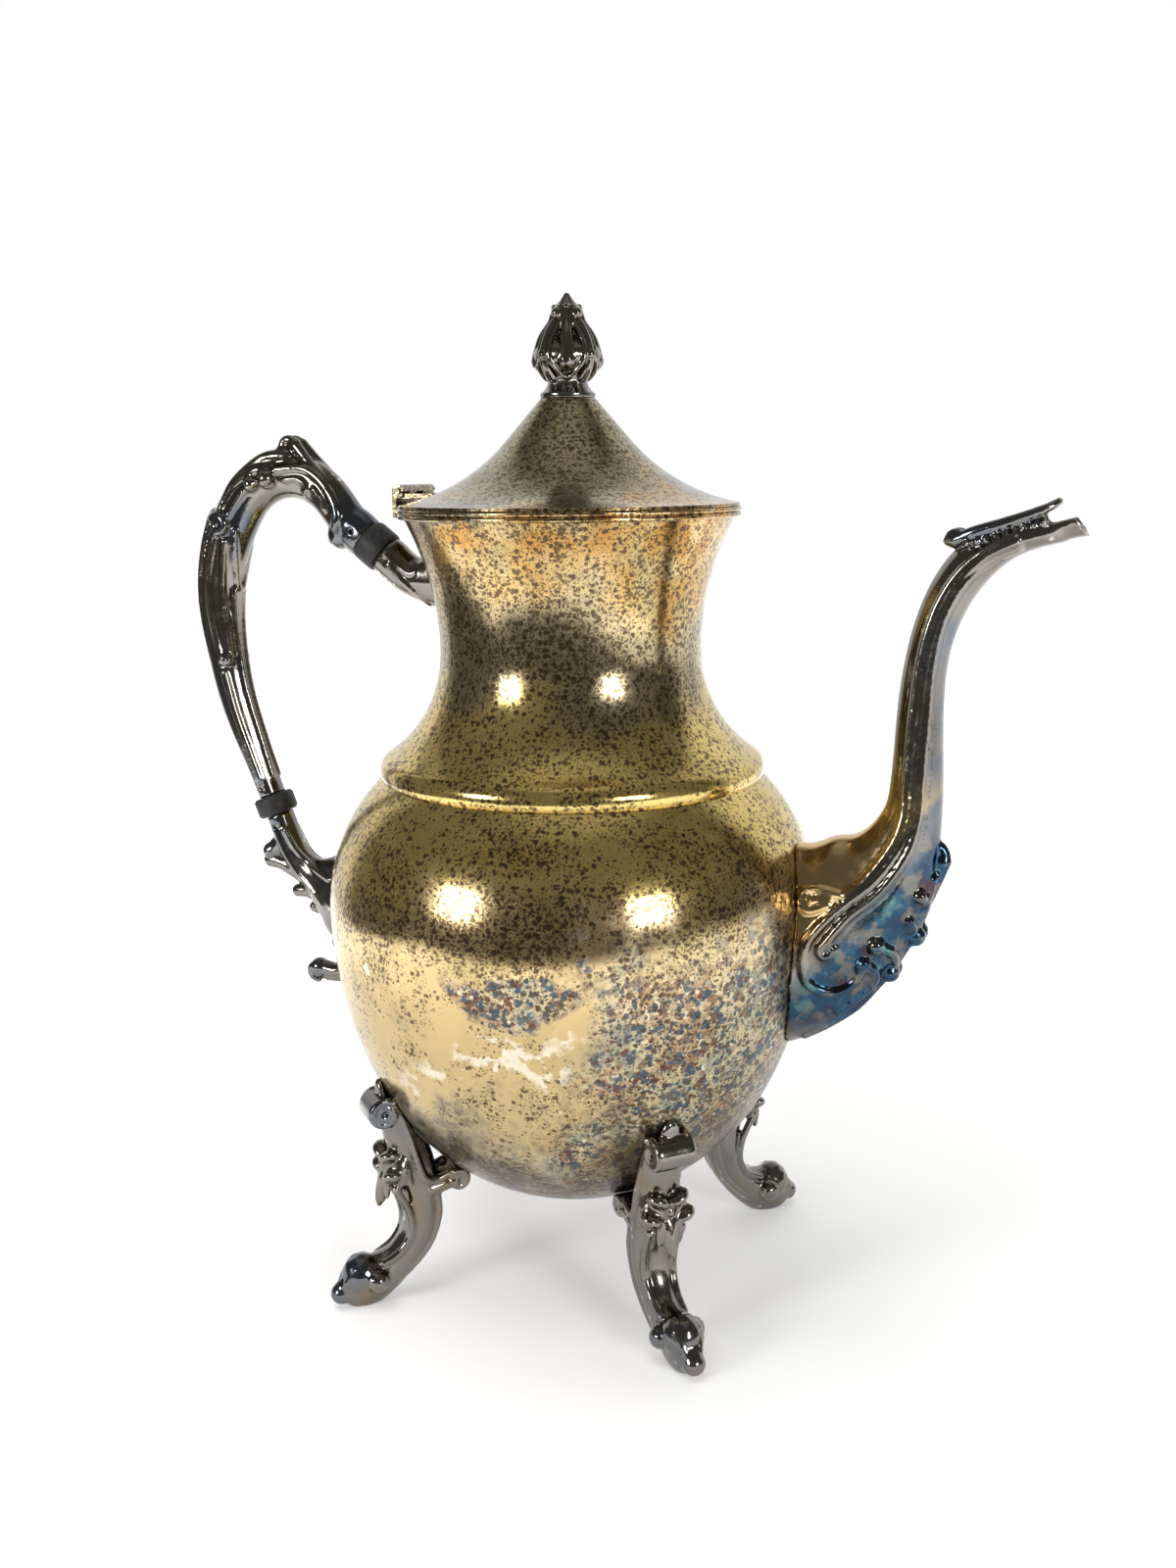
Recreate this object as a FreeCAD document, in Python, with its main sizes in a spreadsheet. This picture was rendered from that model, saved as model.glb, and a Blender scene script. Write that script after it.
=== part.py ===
"""Silver-plated coffee pot with a hinged lid, on four cast scroll feet (millimetres, +Z up)."""
import FreeCAD, Part
import math
import os

import Sketcher
from FreeCAD import Placement, Rotation, Vector

STRAINER_SPOKES = 6
FINIAL_DROPS = 4
KNUCKLES = 5
FEET = ("foot_front_left", "foot_rear_left", "foot_rear_right", "foot_front_right")

DOC = FreeCAD.newDocument("coffee_pot")
SIZES = DOC.addObject("Spreadsheet::Sheet", "sizes")
WORKED = DOC.addObject("Spreadsheet::Sheet", "worked")

# Driving sizes: name, value, meaning
DRIVING = [
    ("wall", 1.0, "thickness of the spun sheet"),
    ("solder_gap", 0.1, "gap of a soldered joint on a curved face"),
    ("fit_gap", 0.05, "radial clearance of a pin in its hole"),
    ("bowl_clearance", 25.4, "table to the underside of the bowl"),
    ("bowl_radius", 72.3, "bowl at its belly"),
    ("belly_rise", 91.6, "underside of the bowl to its belly"),
    ("bowl_height", 128.6, "underside of the bowl to the seat of the neck"),
    ("side_arc", 122.8, "curve of the bowl's side below the belly"),
    ("seat_radius", 55.9, "where the neck sits on the bowl's shoulder"),
    ("bowl_mouth_radius", 53.4, "opening at the top of the bowl"),
    ("strainer_hole_radius", 2.2, "pouring holes behind the spout"),
    ("strainer_ring_radius", 9.0, "circle of the pouring holes"),
    ("strainer_drop", 8.0, "belly down to the middle pouring hole"),
    ("bulge_radius", 56.3, "rounded foot of the neck"),
    ("bulge_arc", 5.0, "curve of the neck's rounded foot"),
    ("bulge_rise", 2.6, "seat of the neck to its widest point"),
    ("waist_radius", 37.9, "neck at its waist"),
    ("waist_rise", 37.0, "seat of the neck to its waist"),
    ("mouth_radius", 47.1, "top edge of the neck"),
    ("neck_height", 74.4, "seat of the neck to its top edge"),
    ("rim_radius", 48.9, "rim band, outside"),
    ("rim_height", 3.0, "rim band"),
    ("rim_width", 3.1, "rim band, across the ring"),
    ("rim_bead_arc", 0.9, "curve of the two beads of the rim band"),
    ("lid_radius", 48.6, "edge of the lid"),
    ("lid_edge", 0.8, "thickness of the lid's edge"),
    ("lid_flare_radius", 17.5, "where the lid's flare turns into a cone"),
    ("lid_flare_rise", 18.6, "rim to the top of the flare"),
    ("lid_flare_arc", 54.0, "curve of the lid's flare"),
    ("lid_height", 29.8, "rim to the seat of the finial"),
    ("bezel_radius", 43.2, "ring under the lid"),
    ("bezel_wall", 1.2, "ring under the lid"),
    ("bezel_depth", 6.0, "ring under the lid"),
    ("finial_height", 28.8, "seat of the finial to its tip"),
    ("finial_collar_radius", 7.8, "foot of the finial"),
    ("finial_collar_height", 1.6, "foot of the finial"),
    ("finial_waist_radius", 5.2, "above the collar"),
    ("finial_waist_rise", 4.8, "above the seat"),
    ("finial_bulb_radius", 9.0, "core of the bud, without its drops"),
    ("finial_bulb_rise", 12.0, "above the seat"),
    ("finial_throat_radius", 4.2, "where the bud's leaves close"),
    ("finial_throat_rise", 21.5, "above the seat"),
    ("finial_tip_radius", 0.6, "small flat at the tip"),
    ("finial_cove_arc", 4.4, "curve from the collar to the waist"),
    ("finial_bud_arc", 9.0, "curve of the lower half of the bud"),
    ("finial_leaf_arc", 9.9, "curve of the upper half of the bud"),
    ("finial_tip_arc", 8.4, "curve up to the tip"),
    ("finial_drop_radius", 3.4, "drops on the bud"),
    ("finial_drop_height", 5.6, "half the height of a drop"),
    ("finial_drop_circle", 7.6, "circle of the drops' middles"),
    ("stud_radius", 1.5, "screw of the finial"),
    ("stud_in_finial", 9.0, "length of the screw in the finial"),
    ("stud_below_lid", 5.0, "length of the screw below the lid"),
    ("washer_radius", 4.5, "washer under the lid"),
    ("washer_height", 0.8, "washer under the lid"),
    ("nut_radius", 3.2, "nut, across its corners, halved"),
    ("nut_height", 2.4, "nut"),
    ("hinge_offset", 0.3, "rim band to the hinge axis, outwards"),
    ("hinge_rise", 4.6, "rim to the hinge axis"),
    ("hinge_length", 21.0, "all five knuckles"),
    ("knuckle_radius", 1.9, "hinge knuckles"),
    ("knuckle_gap", 0.2, "between two knuckles"),
    ("hinge_pin_radius", 0.8, "hinge pin"),
    ("hinge_head", 0.6, "how far the pin's ends stand out"),
    ("leaf_thickness", 1.2, "hinge leaves"),
    ("leaf_clearance", 0.3, "between a leaf and what turns past it"),
    ("lid_leaf_reach", 11.0, "hinge axis to the end of the lid's leaf"),
    ("neck_leaf_drop", 7.6, "hinge axis to the foot of the fixed leaf"),
    ("upper_joint_out", 13.3, "rim band to the middle of the upper insulator"),
    ("upper_joint_drop", 8.8, "neck's top edge down to the middle of the upper insulator"),
    ("upper_joint_tilt", 38.0, "fall of the upper joint's axis towards the neck, degrees"),
    ("upper_drum_radius", 5.9, "upper insulator"),
    ("upper_drum_length", 8.0, "upper insulator"),
    ("lower_drum_radius", 6.4, "lower insulator"),
    ("lower_drum_length", 6.4, "lower insulator"),
    ("tenon_radius", 2.4, "peg at each end of an insulator"),
    ("tenon_length", 7.0, "peg at each end of an insulator"),
    ("tenon_end_gap", 0.5, "end of a peg to the bottom of its hole"),
    ("socket_wall", 2.0, "metal round a peg hole"),
    ("cross_pin_radius", 0.7, "pins through the pegs"),
    ("cross_pin_length", 8.2, "pins through the pegs"),
    ("handle_root_run", 7.0, "straight start of the handle at the upper joint"),
    ("handle_dip_arc", 16.0, "handle, first bend upwards"),
    ("handle_dip_turn", 22.0, "handle, first bend upwards, degrees"),
    ("handle_crown_arc", 19.5, "handle, over its crown"),
    ("handle_crown_turn", 114.0, "handle, over its crown, degrees"),
    ("handle_back_arc", 55.0, "handle, upper back"),
    ("handle_back_turn", 34.0, "handle, upper back, degrees"),
    ("handle_tail_arc", 105.0, "handle, lower back"),
    ("handle_tail_turn", 23.0, "handle, lower back, degrees"),
    ("handle_end_run", 22.0, "straight end of the handle at the lower joint"),
    ("handle_root_depth", 12.0, "handle at the upper joint"),
    ("handle_crown_depth", 15.0, "handle at its crown"),
    ("handle_tail_depth", 8.0, "handle at the lower joint"),
    ("handle_root_width", 11.0, "handle at the upper joint, across"),
    ("handle_crown_width", 11.4, "handle at its crown, across"),
    ("handle_tail_width", 9.4, "handle at the lower joint, across"),
    ("crest_radius", 4.0, "leaf scroll on the handle's crown"),
    ("crest_rise", 6.0, "crown's middle line to the scroll"),
    ("upper_pad_depth", 22.0, "upper socket where it meets the neck"),
    ("upper_pad_width", 14.0, "upper socket where it meets the neck"),
    ("upper_pad_drop", 18.0, "neck's top edge down to the middle of the upper pad"),
    ("upper_pad_sink", 1.0, "how far the upper pad's section lies inside the neck's waist"),
    ("lower_pad_depth", 28.0, "lower socket where it meets the bowl"),
    ("lower_pad_width", 15.0, "lower socket where it meets the bowl"),
    ("lower_pad_drop", 11.0, "belly down to the middle of the lower pad"),
    ("lower_pad_sink", 4.0, "how far the lower pad's section lies inside the belly"),
    ("lower_stem_run", 9.0, "straight start of the lower socket"),
    ("lower_stem_arc", 22.0, "bend of the lower socket"),
    ("lower_stem_turn", 48.0, "bend of the lower socket, degrees"),
    ("lower_leaf_length", 8.0, "leaf that stands out of the lower socket"),
    ("lower_leaf_radius", 2.6, "leaf that stands out of the lower socket"),
    ("lower_leaf_root", 10.4, "depth of that leaf at its root"),
    ("lower_leaf_tip", 3.0, "ball at the tip of that leaf"),
    ("lower_leaf_turn", 80.0, "how far that leaf turns from the stem, degrees"),
    ("curl_drop", 27.0, "belly down to the start of the tail curl"),
    ("curl_out", 4.6, "bowl to the start of the tail curl"),
    ("curl_arc", 6.5, "tail curl of the lower socket"),
    ("curl_turn", 98.0, "tail curl of the lower socket, degrees"),
    ("curl_run", 4.6, "tail curl, straight end"),
    ("curl_radius", 2.7, "tail curl, thickness halved"),
    ("curl_tip_radius", 3.2, "ball at the end of the tail curl"),
    ("curl_root_depth", 10.8, "tail curl at its root"),
    ("curl_root_width", 8.6, "tail curl at its root, across"),
    ("spout_wall", 1.6, "casting of the spout"),
    ("spout_root_depth", 12.0, "how far the spout's loft starts inside the belly"),
    ("spout_top_rise", 23.4, "belly up to the spout's upper line at the bowl"),
    ("spout_top_run", 17.0, "spout's upper line, level start"),
    ("spout_top_arc", 16.0, "spout's upper line, bend upwards"),
    ("spout_top_turn", 86.0, "spout's upper line, bend upwards, degrees"),
    ("spout_top_climb", 27.5, "spout's upper line, straight climb"),
    ("spout_top_sweep_arc", 80.0, "spout's upper line, sweep outwards"),
    ("spout_top_sweep_turn", 24.0, "spout's upper line, sweep outwards, degrees"),
    ("spout_top_brow_arc", 22.0, "spout's upper line, brow"),
    ("spout_top_brow_turn", 38.0, "spout's upper line, brow, degrees"),
    ("spout_top_lip", 22.0, "spout's upper line, lip"),
    ("spout_heel_drop", 45.5, "belly down to the spout's lower line at its root"),
    ("spout_heel_rise", 36.0, "spout's lower line, slope of its start, degrees"),
    ("spout_heel_run", 19.0, "spout's lower line, straight start"),
    ("spout_heel_arc", 78.0, "spout's lower line, heel"),
    ("spout_heel_turn", 55.0, "spout's lower line, heel, degrees"),
    ("spout_heel_climb", 35.5, "spout's lower line, straight climb"),
    ("spout_heel_sweep_arc", 46.0, "spout's lower line, sweep outwards"),
    ("spout_heel_sweep_turn", 41.0, "spout's lower line, sweep outwards, degrees"),
    ("spout_heel_brow_arc", 24.0, "spout's lower line, brow"),
    ("spout_heel_brow_turn", 35.0, "spout's lower line, brow, degrees"),
    ("spout_heel_lip", 12.3, "spout's lower line, pouring lip"),
    ("spout_foot_width", 34.0, "spout on the bowl, across"),
    ("spout_heel_width", 30.6, "spout just outside the bowl, across"),
    ("spout_elbow_width", 15.0, "spout at the top of its bend, across"),
    ("spout_neck_width", 12.4, "spout at its straight part, across"),
    ("spout_brow_width", 13.6, "spout at its brow, across"),
    ("spout_lip_width", 11.0, "spout at its lip, across"),
    ("mouth_cut", 7.0, "length of the open pouring lip"),
    ("foot_bearing", 45.0, "bearing of the first foot from the spout, degrees"),
    ("toe_spread", 4.2, "bowl's belly to the start of the toe, outwards"),
    ("toe_lift", 4.2, "table to the middle of the toe"),
    ("toe_slope", 15.0, "fall of the toe, degrees"),
    ("toe_run", 9.5, "toe"),
    ("leg_arc", 22.0, "bend of the leg"),
    ("leg_turn", 89.0, "bend of the leg, degrees"),
    ("foot_grip", 39.3, "underside of the bowl to the top of a foot"),
    ("toe_depth", 5.8, "toe"),
    ("toe_tip_radius", 3.3, "ball at the tip of the toe"),
    ("instep_depth", 15.6, "where the toe meets the leg"),
    ("ankle_depth", 10.4, "leg above the toe"),
    ("shin_depth", 12.0, "leg at its back"),
    ("cheek_depth", 7.0, "foot on the bowl"),
    ("toe_width", 5.8, "toe, across"),
    ("instep_width", 10.0, "where the toe meets the leg, across"),
    ("shin_width", 12.0, "leg, across"),
    ("cheek_width", 12.0, "foot on the bowl, across"),
    ("ball_radius", 3.2, "balls beside the toe"),
    ("ball_side", 4.8, "middle of the foot to a ball's middle"),
    ("ball_lift", 8.0, "table to a ball's middle"),
    ("knob_radius", 6.0, "knob on the toe"),
    ("scroll_radius", 4.6, "outer scroll of a foot"),
    ("scroll_width", 10.0, "scrolls of a foot, across"),
    ("inner_scroll_radius", 3.4, "inner scroll of a foot"),
    ("inner_scroll_reach", 11.5, "leg to the middle of the inner scroll"),
    ("inner_scroll_slope", 8.0, "rise of the arm to the inner scroll, degrees"),
    ("flower_radius", 7.2, "flower on a foot"),
    ("flower_depth", 4.6, "half the thickness of the flower"),
    ("flower_height", 4.6, "how far the flower stands out of the leg"),
    ("flower_share", 0.25, "flower's place along the upper leg"),
    ("scroll_share", 0.85, "outer scroll's place along the upper leg"),
    ("knob_share", 0.7, "knob's place along the toe"),
    ("arm_end_depth", 5.6, "arm at the inner scroll"),
]

# Places that follow from the driving sizes: name, formula, meaning
DERIVED = [
    ("belly_z", "=sizes.bowl_clearance + sizes.belly_rise", "belly"),
    ("seat_z", "=sizes.bowl_clearance + sizes.bowl_height", "seat of the neck"),
    ("shoulder_in", "=sizes.bowl_radius - sizes.seat_radius", "belly to seat, inwards"),
    ("shoulder_up", "=sizes.bowl_height - sizes.belly_rise", "belly to seat, upwards"),
    ("shoulder_arc", "=(shoulder_in^2 + shoulder_up^2) / (2 * shoulder_in)", "shoulder"),
    ("side_centre", "=sizes.bowl_radius - sizes.side_arc", "side arc's middle, radius"),
    ("bottom_top", "=sizes.side_arc + sizes.bowl_clearance", "helper of the bottom arc"),
    ("bottom_centre_z",
     "=(bottom_top^2 - belly_z^2 - side_centre^2) / (2 * (bottom_top - belly_z))",
     "middle of the bottom arc"),
    ("bottom_arc", "=bottom_centre_z - sizes.bowl_clearance", "bottom of the bowl"),
    ("bottom_out", "=-side_centre / (sizes.side_arc - bottom_arc)", "way to the bottom arc's end"),
    ("bottom_up", "=(bottom_centre_z - belly_z) / (sizes.side_arc - bottom_arc)", "the same, up"),
    ("shoulder_centre", "=sizes.bowl_radius - shoulder_arc", "shoulder arc's middle, radius"),
    ("bulge_z", "=seat_z + sizes.bulge_rise", "widest point of the neck's foot"),
    ("bulge_centre", "=sizes.bulge_radius - sizes.bulge_arc", "bulge arc's middle, radius"),
    ("waist_z", "=seat_z + sizes.waist_rise", "waist"),
    ("waist_up", "=waist_z - bulge_z", "bulge to waist, upwards"),
    ("waist_in", "=bulge_centre - sizes.waist_radius", "bulge's middle to waist, inwards"),
    ("flank_arc",
     "=(waist_in^2 + waist_up^2 - sizes.bulge_arc^2) / (2 * (waist_in + sizes.bulge_arc))",
     "neck between its foot and its waist"),
    ("flank_centre", "=sizes.waist_radius + flank_arc", "flank arc's middle, radius"),
    ("flank_out", "=(flank_centre - bulge_centre) / (flank_arc + sizes.bulge_arc)",
     "way from the bulge's middle to the flank's"),
    ("flank_up", "=waist_up / (flank_arc + sizes.bulge_arc)", "the same, upwards"),
    ("neck_top_z", "=seat_z + sizes.neck_height", "top edge of the neck"),
    ("throat_in", "=sizes.mouth_radius - sizes.waist_radius", "waist to mouth, outwards"),
    ("throat_up", "=neck_top_z - waist_z", "waist to mouth, upwards"),
    ("throat_arc", "=(throat_in^2 + throat_up^2) / (2 * throat_in)", "neck above its waist"),
    ("throat_centre", "=sizes.waist_radius + throat_arc", "throat arc's middle, radius"),
    ("rim_z", "=neck_top_z + sizes.rim_height", "top of the rim band, where the lid rests"),
    ("flare_z", "=rim_z + sizes.lid_flare_rise", "top of the lid's flare"),
    ("edge_z", "=rim_z + sizes.lid_edge", "top of the lid's edge"),
    ("flare_run", "=sizes.lid_radius - sizes.lid_flare_radius", "flare, inwards"),
    ("flare_climb", "=flare_z - edge_z", "flare, upwards"),
    ("flare_chord", "=sqrt(flare_run^2 + flare_climb^2)", "flare, straight across"),
    ("flare_depth", "=sqrt(sizes.lid_flare_arc^2 - flare_chord^2 / 4)", "chord to the middle"),
    ("flare_centre",
     "=(sizes.lid_radius + sizes.lid_flare_radius) / 2 + flare_depth * flare_climb / flare_chord",
     "flare arc's middle, radius"),
    ("flare_centre_z", "=(edge_z + flare_z) / 2 + flare_depth * flare_run / flare_chord",
     "flare arc's middle"),
    ("flare_in", "=(flare_centre - sizes.lid_flare_radius) / sizes.lid_flare_arc",
     "way from the flare's middle to its top, inwards"),
    ("flare_down", "=(flare_centre_z - flare_z) / sizes.lid_flare_arc", "the same, downwards"),
    ("cone_slope", "=flare_in / flare_down", "rise of the lid's cone"),
    ("lid_top_z", "=rim_z + sizes.lid_height", "seat of the finial"),
    ("lid_top_radius", "=sizes.lid_flare_radius - (lid_top_z - flare_z) / cone_slope",
     "top of the lid's cone"),
    ("top_z", "=lid_top_z + sizes.finial_height", "tip of the finial"),
    ("hinge_x", "=-(sizes.rim_radius + sizes.hinge_offset)", "hinge axis"),
    ("hinge_z", "=rim_z + sizes.hinge_rise", "hinge axis"),
    ("upper_joint_x", "=-(sizes.rim_radius + sizes.upper_joint_out)", "upper insulator"),
    ("upper_joint_z", "=neck_top_z - sizes.upper_joint_drop", "upper insulator"),
    ("nut_top_z", "=lid_top_z - sizes.wall - sizes.washer_height", "top of the nut"),
    ("middle_x", "0", "pot's axis from the middle of the whole length"),
]


def fill(sheet, rows):
    """Give the sheet one aliased cell a row, with its meaning beside it."""
    for row, (alias, content, meaning) in enumerate(rows, start=1):
        sheet.set(f"A{row}", meaning)
        sheet.set(f"B{row}", str(content))
        sheet.setAlias(f"B{row}", alias)
    DOC.recompute()


def size(alias):
    """Read one driving size."""
    return float(getattr(SIZES, alias))


def place(alias):
    """Read one worked place."""
    return float(getattr(WORKED, alias))


# Sketched and turned pieces


def plane(body, role):
    """Find one of a body's own origin planes."""
    return next(item for item in body.Origin.OriginFeatures if item.Role == role)


def new_body(label):
    """Start a body."""
    body = DOC.addObject("PartDesign::Body", label)
    body.Label = label
    return body


def new_sketch(body, name, role):
    """Start a sketch on one of the body's origin planes."""
    sketch = body.newObject("Sketcher::SketchObject", name)
    sketch.AttachmentSupport = [(plane(body, role), "")]
    sketch.MapMode = "FlatFace"
    return sketch


def bind(sketch, kind, *where, formula):
    """Add a dimension to a sketch and let the sheets drive it."""
    value = float(sketch.evalExpression(formula))
    index = sketch.addConstraint(Sketcher.Constraint(kind, *where, value))
    sketch.setExpression(f"Constraints[{index}]", formula)


def outline(body, name, start, steps):
    """Draw a closed outline in the body's XZ plane.

    Each step is (x, z) for a straight line, or (x, z, radius, turn) for an arc that turns left
    (1) or right (-1) on its way. Every x, z and radius is an expression; x "0" is the pot's axis.
    """
    sketch = new_sketch(body, name, "XZ_Plane")
    points = [start[:2]] + [step[:2] for step in steps]
    spots = [Vector(*(float(sketch.evalExpression(text)) for text in point)) for point in points]
    heads = []
    tails = []
    for index, step in enumerate(steps):
        first, last = spots[index], spots[index + 1]
        if len(step) == 2:
            geometry = sketch.addGeometry(Part.LineSegment(first, last))
            heads.append((geometry, 1))
            tails.append((geometry, 2))
            continue
        radius = float(sketch.evalExpression(step[2]))
        turn = step[3]
        chord = last - first
        left = Vector(-chord.y, chord.x).normalize() * turn
        centre = (first + last) / 2 + left * math.sqrt(radius ** 2 - (chord.Length / 2) ** 2)
        begin, end = (first, last) if turn > 0 else (last, first)
        angles = [math.atan2((spot - centre).y, (spot - centre).x) for spot in (begin, end)]
        circle = Part.Circle(centre, Vector(0, 0, 1), radius)
        geometry = sketch.addGeometry(Part.ArcOfCircle(circle, *angles))
        bind(sketch, "Radius", geometry, formula=step[2])
        heads.append((geometry, 1 if turn > 0 else 2))
        tails.append((geometry, 2 if turn > 0 else 1))
    for index, head in enumerate(heads):
        sketch.addConstraint(Sketcher.Constraint("Coincident", *tails[index - 1], *head))
        x_text, z_text = points[index]
        if x_text == "0":
            sketch.addConstraint(Sketcher.Constraint("PointOnObject", *head, -2))
        else:
            bind(sketch, "DistanceX", -1, 1, *head, formula=x_text)
        bind(sketch, "DistanceY", -1, 1, *head, formula=z_text)
    DOC.recompute()
    return sketch


def turned(body, kind, sketch):
    """Turn an outline about the body's upright axis, adding or cutting."""
    feature = body.newObject(f"PartDesign::{kind}", f"{sketch.Name}_turned")
    feature.Profile = sketch
    feature.ReferenceAxis = (sketch, ["V_Axis"])
    feature.Angle = 360
    DOC.recompute()
    return feature


def bowl_outline(body, name, inset, mouth, top):
    """Outline of the bowl's outside, moved inwards by inset and closed across at the top."""
    out = f"worked.bottom_out * (worked.bottom_arc - ({inset}))"
    low = f"worked.bottom_centre_z + worked.bottom_up * (worked.bottom_arc - ({inset}))"
    arc = f"(worked.shoulder_arc - ({inset}))"
    shoulder = f"worked.belly_z + sqrt({arc}^2 - (({mouth}) - worked.shoulder_centre)^2)"
    steps = [
        (out, low, f"worked.bottom_arc - ({inset})", 1),
        (f"sizes.bowl_radius - ({inset})", "worked.belly_z", f"sizes.side_arc - ({inset})", 1),
        (mouth, shoulder, arc, 1),
    ]
    if top:
        steps.append((mouth, top))
        steps.append(("0", top))
    else:
        steps.append(("0", shoulder))
    steps.append(("0", f"sizes.bowl_clearance + ({inset})"))
    return outline(body, name, ("0", f"sizes.bowl_clearance + ({inset})"), steps)


def neck_outline(body, name, inset, bottom, top):
    """Outline of the neck's outside, moved inwards by inset and closed at both ends."""
    bulge = f"(sizes.bulge_arc - ({inset}))"
    flank = f"worked.flank_arc + ({inset})"
    throat = f"(worked.throat_arc + ({inset}))"
    foot_x = f"worked.bulge_centre + sqrt({bulge}^2 - (worked.bulge_z - ({bottom}))^2)"
    join_x = f"worked.bulge_centre + worked.flank_out * {bulge}"
    join_z = f"worked.bulge_z + worked.flank_up * {bulge}"
    mouth = f"worked.throat_centre - sqrt({throat}^2 - (({top}) - worked.waist_z)^2)"
    steps = [
        (foot_x, bottom),
        (join_x, join_z, bulge, 1),
        (f"sizes.waist_radius - ({inset})", "worked.waist_z", flank, -1),
        (mouth, top, throat, -1),
        ("0", top),
        ("0", bottom),
    ]
    return outline(body, name, ("0", bottom), steps)


def make_bowl():
    """Bowl: a spun shell, open at the top, with pouring holes behind the spout."""
    body = new_body("bowl")
    turned(body, "Revolution", bowl_outline(body, "bowl_outside", "0", "sizes.bowl_mouth_radius", ""))
    inner_mouth = "sizes.bowl_mouth_radius - sizes.wall"
    turned(body, "Groove", bowl_outline(body, "bowl_inside", "sizes.wall", inner_mouth,
                                        "worked.bulge_z + sizes.bulge_arc"))
    holes = new_sketch(body, "strainer", "YZ_Plane")
    height = "worked.belly_z - sizes.strainer_drop"
    middle = Vector(0, place("belly_z") - size("strainer_drop"))
    for index in range(STRAINER_SPOKES + 1):
        angle = 360 / STRAINER_SPOKES * index
        ring = size("strainer_ring_radius") if index < STRAINER_SPOKES else 0.0
        spot = middle + Vector(ring * math.cos(math.radians(angle)), ring * math.sin(math.radians(angle)))
        hole = holes.addGeometry(Part.Circle(spot, Vector(0, 0, 1), size("strainer_hole_radius")))
        bind(holes, "Radius", hole, formula="sizes.strainer_hole_radius")
        if index < STRAINER_SPOKES:
            bind(holes, "DistanceX", -1, 1, hole, 3, formula=f"sizes.strainer_ring_radius * cos({angle})")
            bind(holes, "DistanceY", -1, 1, hole, 3,
                 formula=f"{height} + sizes.strainer_ring_radius * sin({angle})")
        else:
            holes.addConstraint(Sketcher.Constraint("PointOnObject", hole, 3, -2))
            bind(holes, "DistanceY", -1, 1, hole, 3, formula=height)
    DOC.recompute()
    whole = body.Shape.Volume
    pocket = body.newObject("PartDesign::Pocket", "strainer_holes")
    pocket.Profile = holes
    pocket.setExpression("Length", "sizes.bowl_radius + sizes.wall")
    pocket.Reversed = True
    DOC.recompute()
    if body.Shape.Volume >= whole:
        raise RuntimeError("the pouring holes cut nothing")
    return body


def make_neck():
    """Neck: a spun collar whose rounded foot follows the bowl's shoulder."""
    body = new_body("neck")
    low = "worked.seat_z - sizes.wall"
    turned(body, "Revolution", neck_outline(body, "neck_outside", "0", low, "worked.neck_top_z"))
    turned(body, "Groove", neck_outline(body, "neck_inside", "sizes.wall", low, "worked.neck_top_z"))
    turned(body, "Groove", bowl_outline(body, "neck_on_bowl", "-sizes.solder_gap",
                                        "worked.bulge_centre", "worked.bulge_z"))
    return body


def make_rim_band():
    """Rim band: a wire of two beads that stands on the neck's top edge."""
    body = new_body("rim_band")
    inner = "sizes.rim_radius - sizes.rim_width"
    outer = "sizes.rim_radius - sizes.rim_bead_arc / 2"
    middle = "worked.neck_top_z + sizes.rim_height / 2"
    sketch = outline(body, "rim_outline", (inner, "worked.neck_top_z"), [
        (outer, "worked.neck_top_z"),
        (outer, middle, "sizes.rim_bead_arc", 1),
        (outer, "worked.rim_z", "sizes.rim_bead_arc", 1),
        (inner, "worked.rim_z"),
        (inner, "worked.neck_top_z"),
    ])
    turned(body, "Revolution", sketch)
    return body


def lid_outline(body, name, inset, edge, floor):
    """Outline of the lid's outside, moved inwards by inset, from its edge down to the floor."""
    arc = f"(sizes.lid_flare_arc + ({inset}))"
    edge_z = f"worked.flare_centre_z - sqrt({arc}^2 - (worked.flare_centre - ({edge}))^2)"
    flare_x = f"worked.flare_centre - worked.flare_in * {arc}"
    flare_z = f"worked.flare_centre_z - worked.flare_down * {arc}"
    top = f"worked.lid_top_z - ({inset})"
    top_x = f"{flare_x} - ({top} - ({flare_z})) / worked.cone_slope"
    return outline(body, name, ("0", floor), [
        (edge, floor),
        (edge, edge_z),
        (flare_x, flare_z, arc, -1),
        (top_x, top),
        ("0", top),
        ("0", floor),
    ])


def make_lid():
    """Lid: a spun shell with a flat edge, and a hole for the finial's screw."""
    body = new_body("lid")
    turned(body, "Revolution", lid_outline(body, "lid_outside", "0", "sizes.lid_radius", "worked.rim_z"))
    turned(body, "Groove", lid_outline(body, "lid_inside", "sizes.wall",
                                       "sizes.bezel_radius - sizes.bezel_wall", "worked.rim_z"))
    bore = "sizes.stud_radius + 2 * sizes.fit_gap"
    low = "worked.lid_top_z - 2 * sizes.wall"
    high = "worked.lid_top_z + sizes.wall"
    turned(body, "Groove", outline(body, "stud_hole", ("0", low), [
        (bore, low), (bore, high), ("0", high), ("0", low)]))
    return body


def make_bezel():
    """Ring under the lid that drops into the mouth."""
    body = new_body("lid_bezel")
    inner = "sizes.bezel_radius - sizes.bezel_wall"
    low = "worked.rim_z - sizes.bezel_depth"
    turned(body, "Revolution", outline(body, "bezel_outline", (inner, low), [
        ("sizes.bezel_radius", low), ("sizes.bezel_radius", "worked.rim_z"),
        (inner, "worked.rim_z"), (inner, low)]))
    return body


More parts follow.
